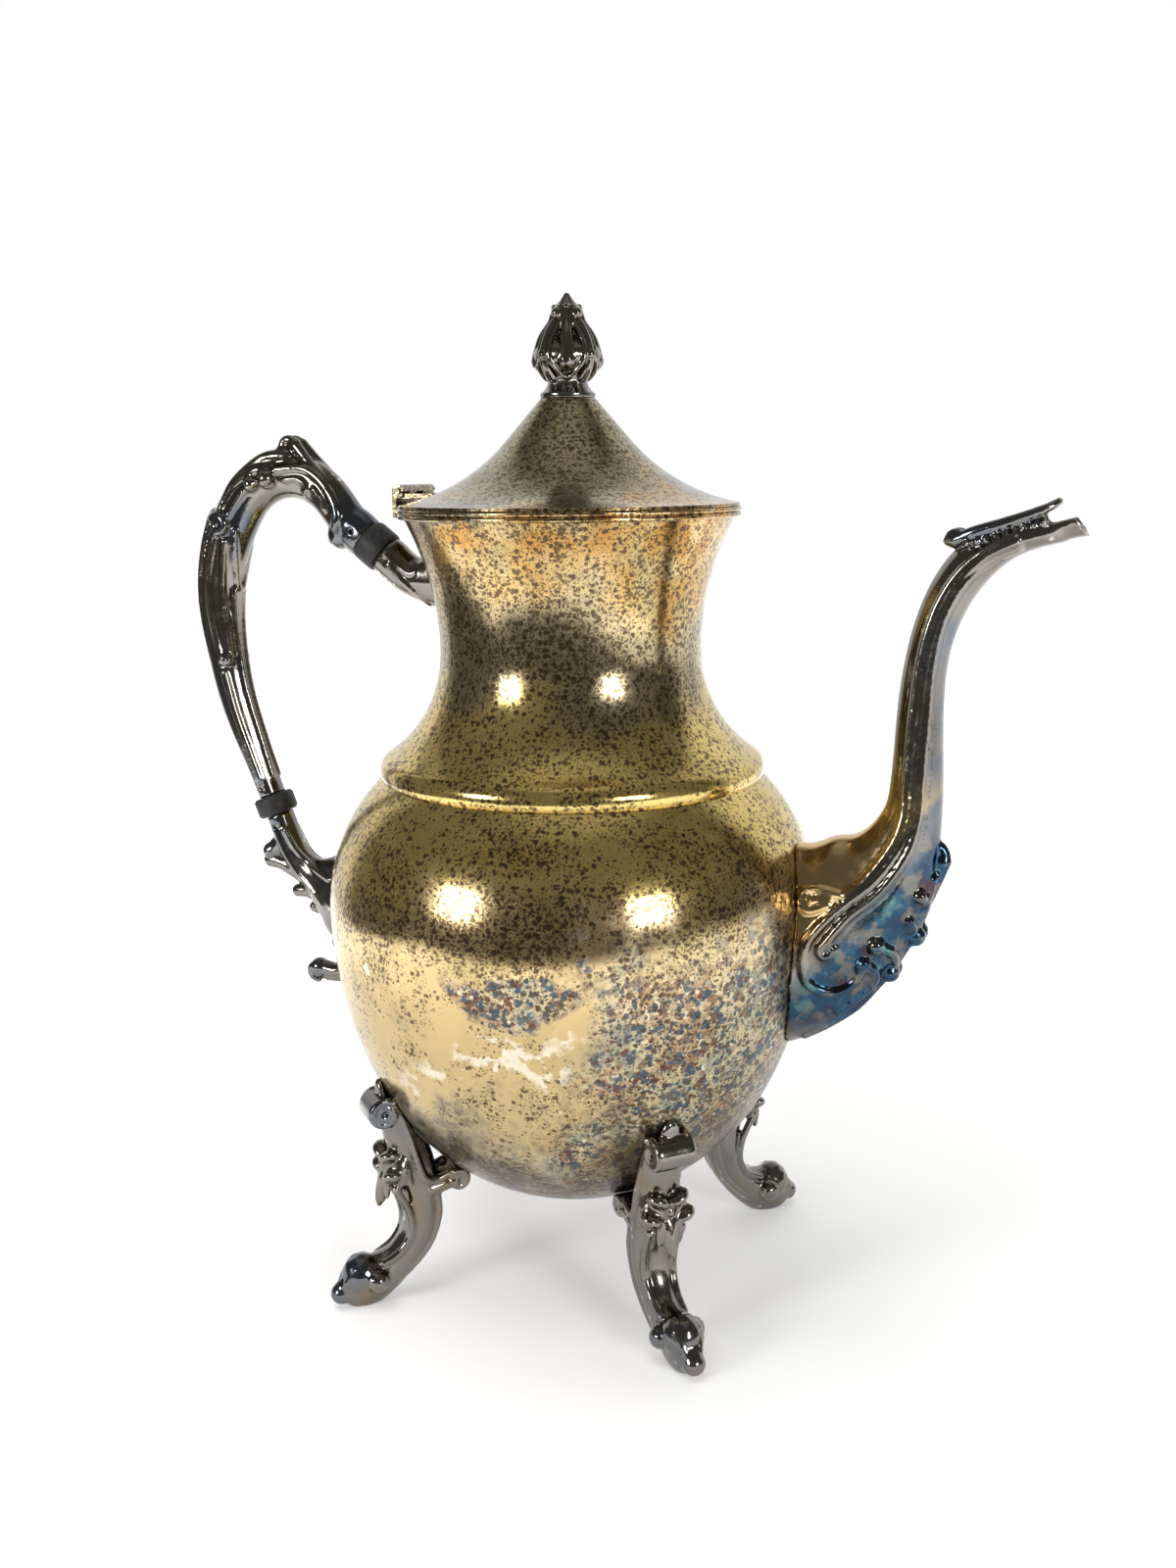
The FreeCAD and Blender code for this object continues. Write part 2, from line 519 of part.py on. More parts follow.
def make_finial():
    """Finial: a bud with drops round it, on a waisted foot, bored from below for its screw."""
    body = new_body("finial")
    collar_z = "worked.lid_top_z + sizes.finial_collar_height"
    waist_z = "worked.lid_top_z + sizes.finial_waist_rise"
    bulb_z = "worked.lid_top_z + sizes.finial_bulb_rise"
    throat_z = "worked.lid_top_z + sizes.finial_throat_rise"
    turned(body, "Revolution", outline(body, "bud_outline", ("0", "worked.lid_top_z"), [
        ("sizes.finial_collar_radius", "worked.lid_top_z"),
        ("sizes.finial_collar_radius", collar_z),
        ("sizes.finial_waist_radius", waist_z, "sizes.finial_cove_arc", -1),
        ("sizes.finial_bulb_radius", bulb_z, "sizes.finial_bud_arc", 1),
        ("sizes.finial_throat_radius", throat_z, "sizes.finial_leaf_arc", 1),
        ("sizes.finial_tip_radius", "worked.top_z", "sizes.finial_tip_arc", 1),
        ("0", "worked.top_z"),
        ("0", "worked.lid_top_z"),
    ]))
    drop = body.newObject("PartDesign::AdditiveEllipsoid", "drop")
    drop.setExpression("Radius1", "sizes.finial_drop_height")
    drop.setExpression("Radius2", "sizes.finial_drop_radius")
    drop.setExpression("Radius3", "sizes.finial_drop_radius")
    drop.AttachmentSupport = [(plane(body, "XY_Plane"), "")]
    drop.MapMode = "FlatFace"
    drop.setExpression("AttachmentOffset.Base.x", "sizes.finial_drop_circle")
    drop.setExpression("AttachmentOffset.Base.z", bulb_z)
    DOC.recompute()
    ring = body.newObject("PartDesign::PolarPattern", "drops")
    ring.Originals = [drop]
    ring.Axis = (next(item for item in body.Origin.OriginFeatures if item.Role == "Z_Axis"), [""])
    ring.Angle = 360
    ring.Occurrences = FINIAL_DROPS
    body.Tip = ring
    DOC.recompute()
    bore = "sizes.stud_radius + sizes.fit_gap"
    high = "worked.lid_top_z + sizes.stud_in_finial + sizes.tenon_end_gap"
    turned(body, "Groove", outline(body, "screw_hole", ("0", "worked.lid_top_z"), [
        (bore, "worked.lid_top_z"), (bore, high), ("0", high), ("0", "worked.lid_top_z")]))
    return body


def make_finial_fasteners():
    """Screw, washer and nut that clamp the finial on the lid."""
    screw = DOC.addObject("Part::Cylinder", "finial_screw")
    screw.setExpression("Radius", "sizes.stud_radius")
    screw.setExpression("Height", "sizes.stud_in_finial + sizes.wall + sizes.stud_below_lid")
    screw.setExpression("Placement.Base.z", "worked.lid_top_z - sizes.wall - sizes.stud_below_lid")
    disc = DOC.addObject("Part::Cylinder", "washer_disc")
    disc.setExpression("Radius", "sizes.washer_radius")
    disc.setExpression("Height", "sizes.washer_height")
    disc.setExpression("Placement.Base.z", "worked.nut_top_z")
    hexagon = DOC.addObject("Part::Prism", "nut_blank")
    hexagon.Polygon = 6
    hexagon.setExpression("Circumradius", "sizes.nut_radius")
    hexagon.setExpression("Height", "sizes.nut_height")
    hexagon.setExpression("Placement.Base.z", "worked.nut_top_z - sizes.nut_height")
    nodes = [screw]
    for label, blank in (("finial_washer", disc), ("finial_nut", hexagon)):
        bore = DOC.addObject("Part::Cylinder", f"{label}_bore")
        bore.setExpression("Radius", "sizes.stud_radius + sizes.fit_gap")
        bore.setExpression("Height", f"{blank.Name}.Height")
        bore.setExpression("Placement.Base.z", f"{blank.Name}.Placement.Base.z")
        ring = DOC.addObject("Part::Cut", label)
        ring.Base = blank
        ring.Tool = bore
        nodes.append(ring)
    return nodes


# Hinge


def knuckle(name, first, last, radius):
    """One barrel along the hinge axis, between two shares of the hinge's length."""
    barrel = DOC.addObject("Part::Cylinder", name)
    barrel.setExpression("Radius", radius)
    barrel.setExpression("Height", f"sizes.hinge_length * {last - first} - sizes.knuckle_gap")
    barrel.Placement = Placement(Vector(), Rotation(Vector(1, 0, 0), -90))
    barrel.setExpression("Placement.Base.x", "worked.hinge_x")
    barrel.setExpression("Placement.Base.y",
                         f"sizes.hinge_length * {first - 0.5} + sizes.knuckle_gap / 2")
    barrel.setExpression("Placement.Base.z", "worked.hinge_z")
    return barrel


def plate(name, low_x, high_x, first, last, low_z, high_z):
    """A flat plate given by expressions, and by two shares of the hinge's length."""
    box = DOC.addObject("Part::Box", name)
    box.setExpression("Length", f"({high_x}) - ({low_x})")
    box.setExpression("Width", f"sizes.hinge_length * {last - first} - sizes.knuckle_gap")
    box.setExpression("Height", f"({high_z}) - ({low_z})")
    box.setExpression("Placement.Base.x", low_x)
    box.setExpression("Placement.Base.y",
                      f"sizes.hinge_length * {first - 0.5} + sizes.knuckle_gap / 2")
    box.setExpression("Placement.Base.z", low_z)
    return box


def hinge_leaf(label, pieces, seat):
    """Fuse a leaf's pieces, bore it for the pin and cut it to the piece it is soldered on."""
    blank = DOC.addObject("Part::MultiFuse", f"{label}_blank")
    blank.Shapes = pieces
    bore = knuckle(f"{label}_bore", -0.1, 1.1, "sizes.hinge_pin_radius + sizes.fit_gap")
    bored = DOC.addObject("Part::Cut", f"{label}_bored")
    bored.Base = blank
    bored.Tool = bore
    leaf = DOC.addObject("Part::Cut", label)
    leaf.Base = bored
    leaf.Tool = seat
    return leaf


def make_hinge(rim_form, lid_form):
    """Five knuckles on one pin: three on the rim's leaf, two on the lid's."""
    shares = [index / KNUCKLES for index in range(KNUCKLES + 1)]
    back = "worked.hinge_x - sizes.knuckle_radius"
    front = "worked.hinge_x - sizes.knuckle_radius + sizes.leaf_thickness"
    foot = "worked.hinge_z - sizes.neck_leaf_drop"
    shelf = "worked.hinge_z - sizes.knuckle_radius - sizes.leaf_clearance"
    fixed = [
        plate("rim_leaf", back, front, 0, 1, foot, shelf),
        plate("rim_leaf_foot", back, "-sizes.rim_radius + sizes.rim_bead_arc", 0, 1, foot,
              "worked.rim_z"),
    ]
    for index in range(0, KNUCKLES, 2):
        fixed.append(knuckle(f"rim_knuckle_{index}", shares[index], shares[index + 1],
                             "sizes.knuckle_radius"))
        fixed.append(plate(f"rim_tab_{index}", back, front, shares[index], shares[index + 1],
                           shelf, "worked.hinge_z"))
    inner = "worked.hinge_x + sizes.knuckle_radius + sizes.leaf_clearance"
    end = "worked.hinge_x + sizes.lid_leaf_reach"
    low = "worked.hinge_z - sizes.knuckle_radius"
    high = "worked.hinge_z - sizes.knuckle_radius + sizes.leaf_thickness"
    moving = [plate("lid_leaf", inner, end, 0, 1, low, high)]
    for index in range(1, KNUCKLES, 2):
        moving.append(knuckle(f"lid_knuckle_{index}", shares[index], shares[index + 1],
                              "sizes.knuckle_radius"))
        moving.append(plate(f"lid_tab_{index}", "worked.hinge_x", inner, shares[index],
                            shares[index + 1], low, high))
    pin = DOC.addObject("Part::Cylinder", "hinge_pin")
    pin.setExpression("Radius", "sizes.hinge_pin_radius")
    pin.setExpression("Height", "sizes.hinge_length + 2 * sizes.hinge_head")
    pin.Placement = Placement(Vector(), Rotation(Vector(1, 0, 0), -90))
    pin.setExpression("Placement.Base.x", "worked.hinge_x + worked.middle_x")
    pin.setExpression("Placement.Base.y", "-sizes.hinge_length / 2 - sizes.hinge_head")
    pin.setExpression("Placement.Base.z", "worked.hinge_z")
    leaves = [hinge_leaf("hinge_neck_leaf", fixed, rim_form),
              hinge_leaf("hinge_lid_leaf", moving, lid_form)]
    return leaves + [pin]


# Castings


class Chain:
    """A line in the XZ plane made of straight runs and arcs that follow on smoothly."""

    def __init__(self, x, z, heading):
        """Start at a point, with a heading in degrees (0 along +X, 90 along +Z)."""
        self.steps = []
        self.end = (x, z, heading)

    def run(self, length):
        """Go straight on."""
        return self._add(length, 0.0)

    def bend(self, radius, turn):
        """Turn left (positive) or right (negative) by so many degrees."""
        return self._add(radius * math.radians(abs(turn)), turn)

    def _add(self, length, turn):
        """Keep one step and move to its end."""
        self.steps.append((*self.end, length, turn))
        self.end = self.at(len(self.steps) - 1, 1.0)
        return self

    def at(self, step, share):
        """Give x, z and heading at a share of one step."""
        x, z, heading, length, turn = self.steps[step]
        first = math.radians(heading)
        if turn == 0.0:
            return x + length * share * math.cos(first), z + length * share * math.sin(first), heading
        last = first + math.radians(turn) * share
        radius = length / math.radians(turn)
        return (x + radius * (math.sin(last) - math.sin(first)),
                z - radius * (math.cos(last) - math.cos(first)),
                heading + turn * share)


def ring(x, z, heading, depth, width):
    """Closed oval section of four curves at a point of a chain, square to its heading."""
    across = Vector(-math.sin(math.radians(heading)), 0, math.cos(math.radians(heading))) * (depth / 2)
    side = Vector(0, width / 2, 0)
    quarter = math.tau / 4
    edges = []
    for index in range(4):
        angles = [quarter * (index + share / 4) for share in range(5)]
        ways = [side * math.cos(angle) - across * math.sin(angle) for angle in angles]
        curve = Part.BSplineCurve()
        curve.interpolate(
            Points=[Vector(x, 0, z) + across * math.cos(angle) + side * math.sin(angle) for angle in angles],
            InitialTangent=ways[0], FinalTangent=ways[-1])
        edges.append(curve.toShape())
    return Part.Wire(edges)


def cast(rings):
    """Skin a solid over a row of sections."""
    return Part.makeLoft(rings, True, False)


def swept(chain, stations):
    """Skin a solid along a chain; a station is (step, share, depth, width)."""
    return cast([ring(*chain.at(step, share), depth, width) for step, share, depth, width in stations])


def blend(first, last, share):
    """Ease from one size to the next."""
    return first + (last - first) * (1 - math.cos(math.pi * share)) / 2


def along_y(x, z, radius, length):
    """A round bar across the pot."""
    return Part.makeCylinder(radius, length, Vector(x, -length / 2, z), Vector(0, 1, 0))


def feature(label, shape):
    """Put a cast solid into the document."""
    node = DOC.addObject("Part::Feature", label)
    node.Label = label
    node.Shape = shape.removeSplitter()
    return node


def joint_frame(x, z, heading):
    """Placement of an insulator: its own Z runs along the heading, towards the handle."""
    return Placement(Vector(x, 0, z), Rotation(Vector(0, 1, 0), 90 - heading))


def peg_cutters(chain_point, sign):
    """Hole for a peg from a joint's face into a casting, and the cross hole for its pin."""
    x, z, heading = chain_point
    way = Vector(math.cos(math.radians(heading)), 0, math.sin(math.radians(heading))) * sign
    face = Vector(x, 0, z)
    depth = size("tenon_length") + size("tenon_end_gap")
    bore = Part.makeCylinder(size("tenon_radius") + size("fit_gap"), depth, face, way)
    pin_spot = face + way * (size("tenon_length") / 2)
    pin_hole = along_y(pin_spot.x, pin_spot.z, size("cross_pin_radius") + size("fit_gap"),
                       4 * size("cross_pin_length"))
    return bore.fuse(pin_hole)


def upper_joint():
    """Middle of the upper insulator, and the heading from the neck to the handle."""
    return place("upper_joint_x"), place("upper_joint_z"), 180 - size("upper_joint_tilt")


def handle_chain():
    """Middle line of the handle, from the upper insulator's face to the lower one's."""
    x, z, heading = upper_joint()
    face = Chain(x, z, heading).run(size("upper_drum_length") / 2).end
    chain = Chain(*face).run(size("handle_root_run"))
    chain.bend(size("handle_dip_arc"), -size("handle_dip_turn"))
    chain.bend(size("handle_crown_arc"), size("handle_crown_turn"))
    chain.bend(size("handle_back_arc"), size("handle_back_turn"))
    chain.bend(size("handle_tail_arc"), size("handle_tail_turn"))
    return chain.run(size("handle_end_run"))


def lower_joint():
    """Middle of the lower insulator, and the heading from the handle to the bowl."""
    return Chain(*handle_chain().end).run(size("lower_drum_length") / 2).end


def make_handle():
    """Handle: an ear-shaped casting with a leaf scroll on its crown."""
    chain = handle_chain()
    stations = [(0, 0.0, size("handle_root_depth"), size("handle_root_width")),
                (0, 1.0, size("handle_root_depth"), size("handle_root_width"))]
    for index in range(1, 9):
        share = index / 8
        stations.append((2, share, blend(size("handle_root_depth"), size("handle_crown_depth"), share),
                         blend(size("handle_root_width"), size("handle_crown_width"), share)))
    for step, first in ((3, 0.0), (4, 1 / 3), (5, 2 / 3)):
        for index in range(1, 4):
            share = index / 3
            ease = first + share / 3
            stations.append((step, share, blend(size("handle_crown_depth"), size("handle_tail_depth"), ease),
                             blend(size("handle_crown_width"), size("handle_tail_width"), ease)))
    solid = swept(chain, stations)
    crown_share = (180 - chain.steps[2][2]) / chain.steps[2][4]
    x, z, _ = chain.at(2, crown_share)
    solid = solid.fuse(Part.makeSphere(size("crest_radius"), Vector(x, 0, z + size("crest_rise"))))
    x, z, heading = chain.end
    solid = solid.cut(peg_cutters(chain.at(0, 0.0), 1)).cut(peg_cutters((x, z, heading), -1))
    return feature("handle", solid)


def make_insulator(label, middle, radius, length):
    """Insulator: a drum with a peg at each end, cross-drilled for its pins."""
    body = new_body(label)
    half = f"sizes.{length} / 2"
    peg = f"({half} + sizes.tenon_length)"
    turned(body, "Revolution", outline(body, f"{label}_outline", ("0", f"-{peg}"), [
        ("sizes.tenon_radius", f"-{peg}"), ("sizes.tenon_radius", f"-{half}"),
        (f"sizes.{radius}", f"-{half}"), (f"sizes.{radius}", half),
        ("sizes.tenon_radius", half), ("sizes.tenon_radius", peg),
        ("0", peg), ("0", f"-{peg}")]))
    holes = new_sketch(body, f"{label}_pin_holes", "XZ_Plane")
    spot = size(length) / 2 + size("tenon_length") / 2
    for sign in (-1, 1):
        circle = Part.Circle(Vector(0, sign * spot), Vector(0, 0, 1), size("cross_pin_radius"))
        hole = holes.addGeometry(circle)
        holes.addConstraint(Sketcher.Constraint("PointOnObject", hole, 3, -2))
        bind(holes, "Radius", hole, formula="sizes.cross_pin_radius + sizes.fit_gap")
        bind(holes, "DistanceY", -1, 1, hole, 3, formula=f"{sign} * ({half} + sizes.tenon_length / 2)")
    DOC.recompute()
    pocket = body.newObject("PartDesign::Pocket", f"{label}_pins")
    pocket.Profile = holes
    pocket.setExpression("Length", "4 * sizes.tenon_radius")
    pocket.Midplane = True
    DOC.recompute()
    body.Placement = joint_frame(*middle)
    return body


def make_cross_pins(label, middle, length):
    """Two pins, one through each peg of an insulator."""
    x, z, heading = middle
    pins = []
    for sign in (-1, 1):
        pin = DOC.addObject("Part::Cylinder", f"{label}_{len(pins)}")
        pin.setExpression("Radius", "sizes.cross_pin_radius")
        pin.setExpression("Height", "sizes.cross_pin_length")
        reach = sign * (size(length) + size("tenon_length")) / 2
        way = Vector(math.cos(math.radians(heading)), 0, math.sin(math.radians(heading)))
        spot = Vector(x, -size("cross_pin_length") / 2, z) + way * reach
        pin.Placement = Placement(spot, Rotation(Vector(1, 0, 0), -90))
        pins.append(pin)
    pair = DOC.addObject("Part::Compound", label)
    pair.Links = pins
    return pair


def make_upper_socket(neck_form):
    """Upper socket: from the insulator it flares into a pad on the neck."""
    x, z, heading = upper_joint()
    face = Chain(x, z, heading).run(-size("upper_drum_length") / 2).end
    root = Chain(face[0], face[1], face[2] - 180).run(size("tenon_length") + 2 * size("tenon_end_gap"))
    drum = 2 * size("upper_drum_radius")
    pad_z = place("neck_top_z") - size("upper_pad_drop")
    pad_x = -size("waist_radius") + size("upper_pad_sink")
    near_x, near_z, near_heading = root.end
    middle = ((near_x + pad_x) / 2, (near_z + pad_z) / 2, near_heading / 2)
    solid = cast([
        ring(*root.at(0, 0.0), drum, drum),
        ring(*root.at(0, 0.5), drum, drum),
        ring(*root.end, drum, drum),
        ring(*middle, (drum + size("upper_pad_depth")) / 2, (drum + size("upper_pad_width")) / 2),
        ring(pad_x, pad_z, 0.0, size("upper_pad_depth"), size("upper_pad_width")),
    ])
    solid = solid.cut(peg_cutters(face, -1)).cut(neck_form.Shape)
    return feature("upper_handle_socket", solid)


def make_lower_socket(bowl_form):
    """Lower socket: a bent stem that flares onto the bowl, with a leaf and a tail curl."""
    face = Chain(*lower_joint()).run(size("lower_drum_length") / 2).end
    stem = Chain(*face).run(size("lower_stem_run"))
    stem.bend(size("lower_stem_arc"), size("lower_stem_turn"))
    root = 2 * (size("tenon_radius") + size("socket_wall"))
    pad_x = -size("bowl_radius") + size("lower_pad_sink")
    pad_z = place("belly_z") - size("lower_pad_drop")
    solid = cast([
        ring(*stem.at(0, 0.0), root, root),
        ring(*stem.at(0, 0.5), root, root),
        ring(*stem.at(0, 1.0), root, root),
        ring(*stem.at(1, 0.5), root, root),
        ring(*stem.at(1, 1.0), (root + size("lower_pad_depth")) / 2, (root + size("lower_pad_width")) / 2),
        ring(pad_x, pad_z, 0.0, size("lower_pad_depth"), size("lower_pad_width")),
    ])
    leaf_x, leaf_z, stem_heading = stem.at(0, 1.0)
    leaf = Chain(leaf_x, leaf_z, stem_heading - size("lower_leaf_turn")).run(size("lower_leaf_length"))
    thick = 2 * size("lower_leaf_radius")
    leaf_root = size("lower_leaf_root")
    solid = solid.fuse(swept(leaf, [
        (0, 0.0, leaf_root, thick), (0, 0.5, (leaf_root + thick) / 2, thick), (0, 1.0, thick, thick)]))
    tip_x, tip_z, _ = leaf.end
    solid = solid.fuse(Part.makeSphere(size("lower_leaf_tip"), Vector(tip_x, 0, tip_z)))
    curl_z = place("belly_z") - size("curl_drop") + size("curl_arc")
    curl = Chain(-size("bowl_radius") - size("curl_out"), curl_z, -90).run(size("curl_arc"))
    curl.bend(size("curl_arc"), -size("curl_turn")).run(size("curl_run"))
    bar = 2 * size("curl_radius")
    deep, wide = size("curl_root_depth"), size("curl_root_width")
    solid = solid.fuse(swept(curl, [
        (0, 0.0, deep, wide), (0, 1.0, (deep + bar) / 2, (wide + bar) / 2),
        (1, 1 / 3, bar, bar), (1, 2 / 3, bar, bar), (1, 1.0, bar, bar), (2, 1.0, bar, bar)]))
    end_x, end_z, _ = curl.end
    solid = solid.fuse(Part.makeSphere(size("curl_tip_radius"), Vector(end_x, 0, end_z)))
    solid = solid.cut(peg_cutters(face, 1)).cut(bowl_form.Shape)
    return feature("lower_handle_socket", solid)


def spout_lines():
    """Upper and lower line of the spout, from inside the bowl to the lips."""
    root_x = size("bowl_radius") - size("spout_root_depth")
    top = Chain(root_x, place("belly_z") + size("spout_top_rise"), 0.0).run(size("spout_top_run"))
    top.bend(size("spout_top_arc"), size("spout_top_turn")).run(size("spout_top_climb"))
    top.bend(size("spout_top_sweep_arc"), -size("spout_top_sweep_turn"))
    top.bend(size("spout_top_brow_arc"), -size("spout_top_brow_turn")).run(size("spout_top_lip"))
    heel = Chain(root_x, place("belly_z") - size("spout_heel_drop"), size("spout_heel_rise"))
    heel.run(size("spout_heel_run")).bend(size("spout_heel_arc"), size("spout_heel_turn"))
    heel.run(size("spout_heel_climb"))
    heel.bend(size("spout_heel_sweep_arc"), -size("spout_heel_sweep_turn"))
    heel.bend(size("spout_heel_brow_arc"), -size("spout_heel_brow_turn")).run(size("spout_heel_lip"))
    return top, heel


def spout_skin(inset):
    """Loft between the spout's two lines, moved inwards by inset."""
    top, heel = spout_lines()
    places = ("foot", "heel", "elbow", "neck", "neck", "brow", "lip")
    widths = [size(f"spout_{name}_width") for name in places]
    cuts = (1, 4, 2, 2, 2, 2)
    stations = [(0, 0.0)]
    for step, count in enumerate(cuts):
        stations += [(step, (index + 1) / count) for index in range(count)]
    rings = []
    for step, share in stations:
        upper = Vector(top.at(step, share)[0], 0, top.at(step, share)[1])
        lower = Vector(heel.at(step, share)[0], 0, heel.at(step, share)[1])
        middle = (upper + lower) / 2
        across = upper - lower
        heading = math.degrees(math.atan2(-across.x, across.z))
        width = widths[step] + (widths[step + 1] - widths[step]) * share
        rings.append(ring(middle.x, middle.z, heading, across.Length - 2 * inset, width - 2 * inset))
    return cast(rings)


def make_spout(bowl_form):
    """Spout: a hollow casting, open at the bowl and at its beak-shaped mouth."""
    top, heel = spout_lines()
    outside = spout_skin(0.0).cut(bowl_form.Shape)
    solid = outside.cut(spout_skin(size("spout_wall")).cut(bowl_form.Shape))
    upper_x, upper_z, _ = top.at(5, 1.0)
    lower_x, lower_z, tilt = heel.at(5, 1.0)
    middle = Vector((upper_x + lower_x) / 2, 0, (upper_z + lower_z) / 2)
    way = Vector(math.cos(math.radians(tilt)), 0, math.sin(math.radians(tilt)))
    reach = 4 * size("mouth_cut")
    block = Part.makeBox(reach, reach, reach, Vector(0, -reach / 2, 0))
    block.Placement = Placement(middle - way * size("mouth_cut"), Rotation(Vector(0, 1, 0), -tilt))
    return feature("spout", solid.cut(block))


def foot_shape(bowl_form):
    """One foot, pointing along +X: a toe, a bent leg, two scrolls and a flower, on a flat sole."""
    toe_x = size("bowl_radius") + size("toe_spread")
    leg = Chain(toe_x, size("toe_lift"), 180 - size("toe_slope")).run(size("toe_run"))
    leg.bend(size("leg_arc"), -size("leg_turn"))
    _, knee_z, rise = leg.end
    leg.run((size("bowl_clearance") + size("foot_grip") - knee_z) / math.sin(math.radians(rise)))
    solid = swept(leg, [
        (0, 0.0, size("toe_depth"), size("toe_width")),
        (0, 1.0, size("instep_depth"), size("instep_width")),
        (1, 0.33, size("ankle_depth"), size("instep_width")),
        (1, 0.67, size("ankle_depth"), size("shin_width")),
        (1, 1.0, size("shin_depth"), size("shin_width")),
        (2, 0.5, size("shin_depth"), size("shin_width")),
        (2, 1.0, size("cheek_depth"), size("cheek_width")),
    ])
    start_x, start_z, _ = leg.at(0, 0.0)
    solid = solid.fuse(Part.makeSphere(size("toe_tip_radius"), Vector(start_x, 0, start_z)))
    instep_x, instep_z, _ = leg.at(0, size("knob_share"))
    knob = Vector(instep_x, 0, instep_z + size("knob_radius") / 2)
    solid = solid.fuse(Part.makeSphere(size("knob_radius"), knob))
    for side in (-1, 1):
        ball = Vector(instep_x - size("ball_radius"), side * size("ball_side"), size("ball_lift"))
        solid = solid.fuse(Part.makeSphere(size("ball_radius"), ball))
    cheek_x, cheek_z, _ = leg.at(2, size("scroll_share"))
    solid = solid.fuse(along_y(cheek_x + size("scroll_radius"), cheek_z, size("scroll_radius"),
                               size("scroll_width")))
    knee_x, knee_z, _ = leg.at(1, 1.0)
    arm = Chain(knee_x, knee_z, 180 - size("inner_scroll_slope")).run(size("inner_scroll_reach"))
    arm_depth = 2 * size("inner_scroll_radius")
    solid = solid.fuse(swept(arm, [
        (0, 0.0, arm_depth, size("shin_width")), (0, 0.5, arm_depth, size("shin_width")),
        (0, 1.0, size("arm_end_depth"), size("scroll_width"))]))
    arm_x, arm_z, _ = arm.end
    solid = solid.fuse(along_y(arm_x, arm_z, size("inner_scroll_radius"), size("scroll_width")))
    bloom_x, bloom_z, _ = leg.at(2, size("flower_share"))
    disc = Part.makeSphere(size("flower_radius"))
    squash = FreeCAD.Matrix()
    squash.scale(size("flower_depth") / size("flower_radius"), 1.0, 1.0)
    disc = disc.transformGeometry(squash)
    disc.translate(Vector(bloom_x + size("flower_height"), 0, bloom_z))
    solid = solid.fuse(disc)
    slab = 8 * size("flower_radius")
    ground = Part.makeBox(2 * slab, slab, slab, Vector(0, -slab / 2, -slab))
    return solid.cut(ground).cut(bowl_form.Shape).removeSplitter()


def make_feet(bowl_form):
    """Four feet, a quarter turn apart."""
    shape = foot_shape(bowl_form)
    nodes = []
    for index, label in enumerate(FEET):
        node = feature(label, shape)
        bearing = size("foot_bearing") + 360 / len(FEET) * index
        node.Placement = Placement(Vector(), Rotation(Vector(0, 0, 1), bearing))
        nodes.append(node)
    return nodes


# Forms that cut what is soldered on them


def make_forms():
    """Solid forms of the bowl, the neck, the rim band and the lid, larger by the solder gap."""
    gap = "-sizes.solder_gap"
    bowl = new_body("bowl_form")
    turned(bowl, "Revolution", bowl_outline(bowl, "bowl_form_line", gap, "sizes.bowl_mouth_radius", ""))
    neck = new_body("neck_form")
    turned(neck, "Revolution", neck_outline(neck, "neck_form_line", gap, "worked.seat_z",
                                            "worked.neck_top_z"))
    rim = DOC.addObject("Part::Cylinder", "rim_form")
    rim.setExpression("Radius", "sizes.rim_radius + sizes.solder_gap")
    rim.setExpression("Height", "sizes.rim_height + sizes.hinge_rise")
    rim.setExpression("Placement.Base.z", "worked.neck_top_z")
    lid = new_body("lid_form")
    turned(lid, "Revolution", lid_outline(lid, "lid_form_line", gap, "sizes.lid_radius", "worked.rim_z"))
    return bowl, neck, rim, lid


def centre_on_length(nodes):
    """Move every node so that the origin lies under the middle of the whole length."""
    DOC.recompute()
    boxes = [node.Shape.optimalBoundingBox() for node in nodes]
    shift = -(min(box.XMin for box in boxes) + max(box.XMax for box in boxes)) / 2
    WORKED.set(WORKED.getCellFromAlias("middle_x"), str(shift))
    DOC.recompute()
    for node in nodes:
        if any("Base.x" in path for path, _ in node.ExpressionEngine):
            continue
        node.setExpression("Placement.Base.x", f"{node.Placement.Base.x} + worked.middle_x")
    DOC.recompute()


def write_parts(nodes):
    """Check every object and every solid, then write one STEP file a node."""
    DOC.recompute()
    for item in DOC.Objects:
        if {"Invalid", "Error"} & set(item.State):
            raise RuntimeError(f"{item.Label}: {item.State}")
    os.makedirs("parts", exist_ok=True)
    for node in nodes:
        if node.Shape.isNull() or not node.Shape.isValid():
            raise RuntimeError(f"{node.Label}: no valid shape")
        solids = len(node.Shape.Solids)
        print(f"{node.Label}: {solids} solid(s), {node.Shape.Volume / 1000:.2f} cm3")
        node.Shape.exportStep(f"parts/{node.Label}.step")


def main():
    """Fill the sheets, build the nodes and write them."""
    fill(SIZES, DRIVING)
    fill(WORKED, DERIVED)
    bowl_form, neck_form, rim_form, lid_form = make_forms()
    nodes = [make_bowl(), make_neck(), make_rim_band(), make_lid(), make_bezel(), make_finial()]
    nodes += make_finial_fasteners()
    DOC.recompute()
    nodes += make_hinge(rim_form, lid_form)
    DOC.recompute()
    nodes.append(make_handle())
    nodes.append(make_insulator("upper_insulator", upper_joint(), "upper_drum_radius", "upper_drum_length"))
    nodes.append(make_insulator("lower_insulator", lower_joint(), "lower_drum_radius", "lower_drum_length"))
    nodes.append(make_cross_pins("upper_handle_pins", upper_joint(), "upper_drum_length"))
    nodes.append(make_cross_pins("lower_handle_pins", lower_joint(), "lower_drum_length"))
    nodes.append(make_upper_socket(neck_form))
    nodes.append(make_lower_socket(bowl_form))
    nodes.append(make_spout(bowl_form))
    nodes += make_feet(bowl_form)
    centre_on_length(nodes)
    write_parts(nodes)


main()
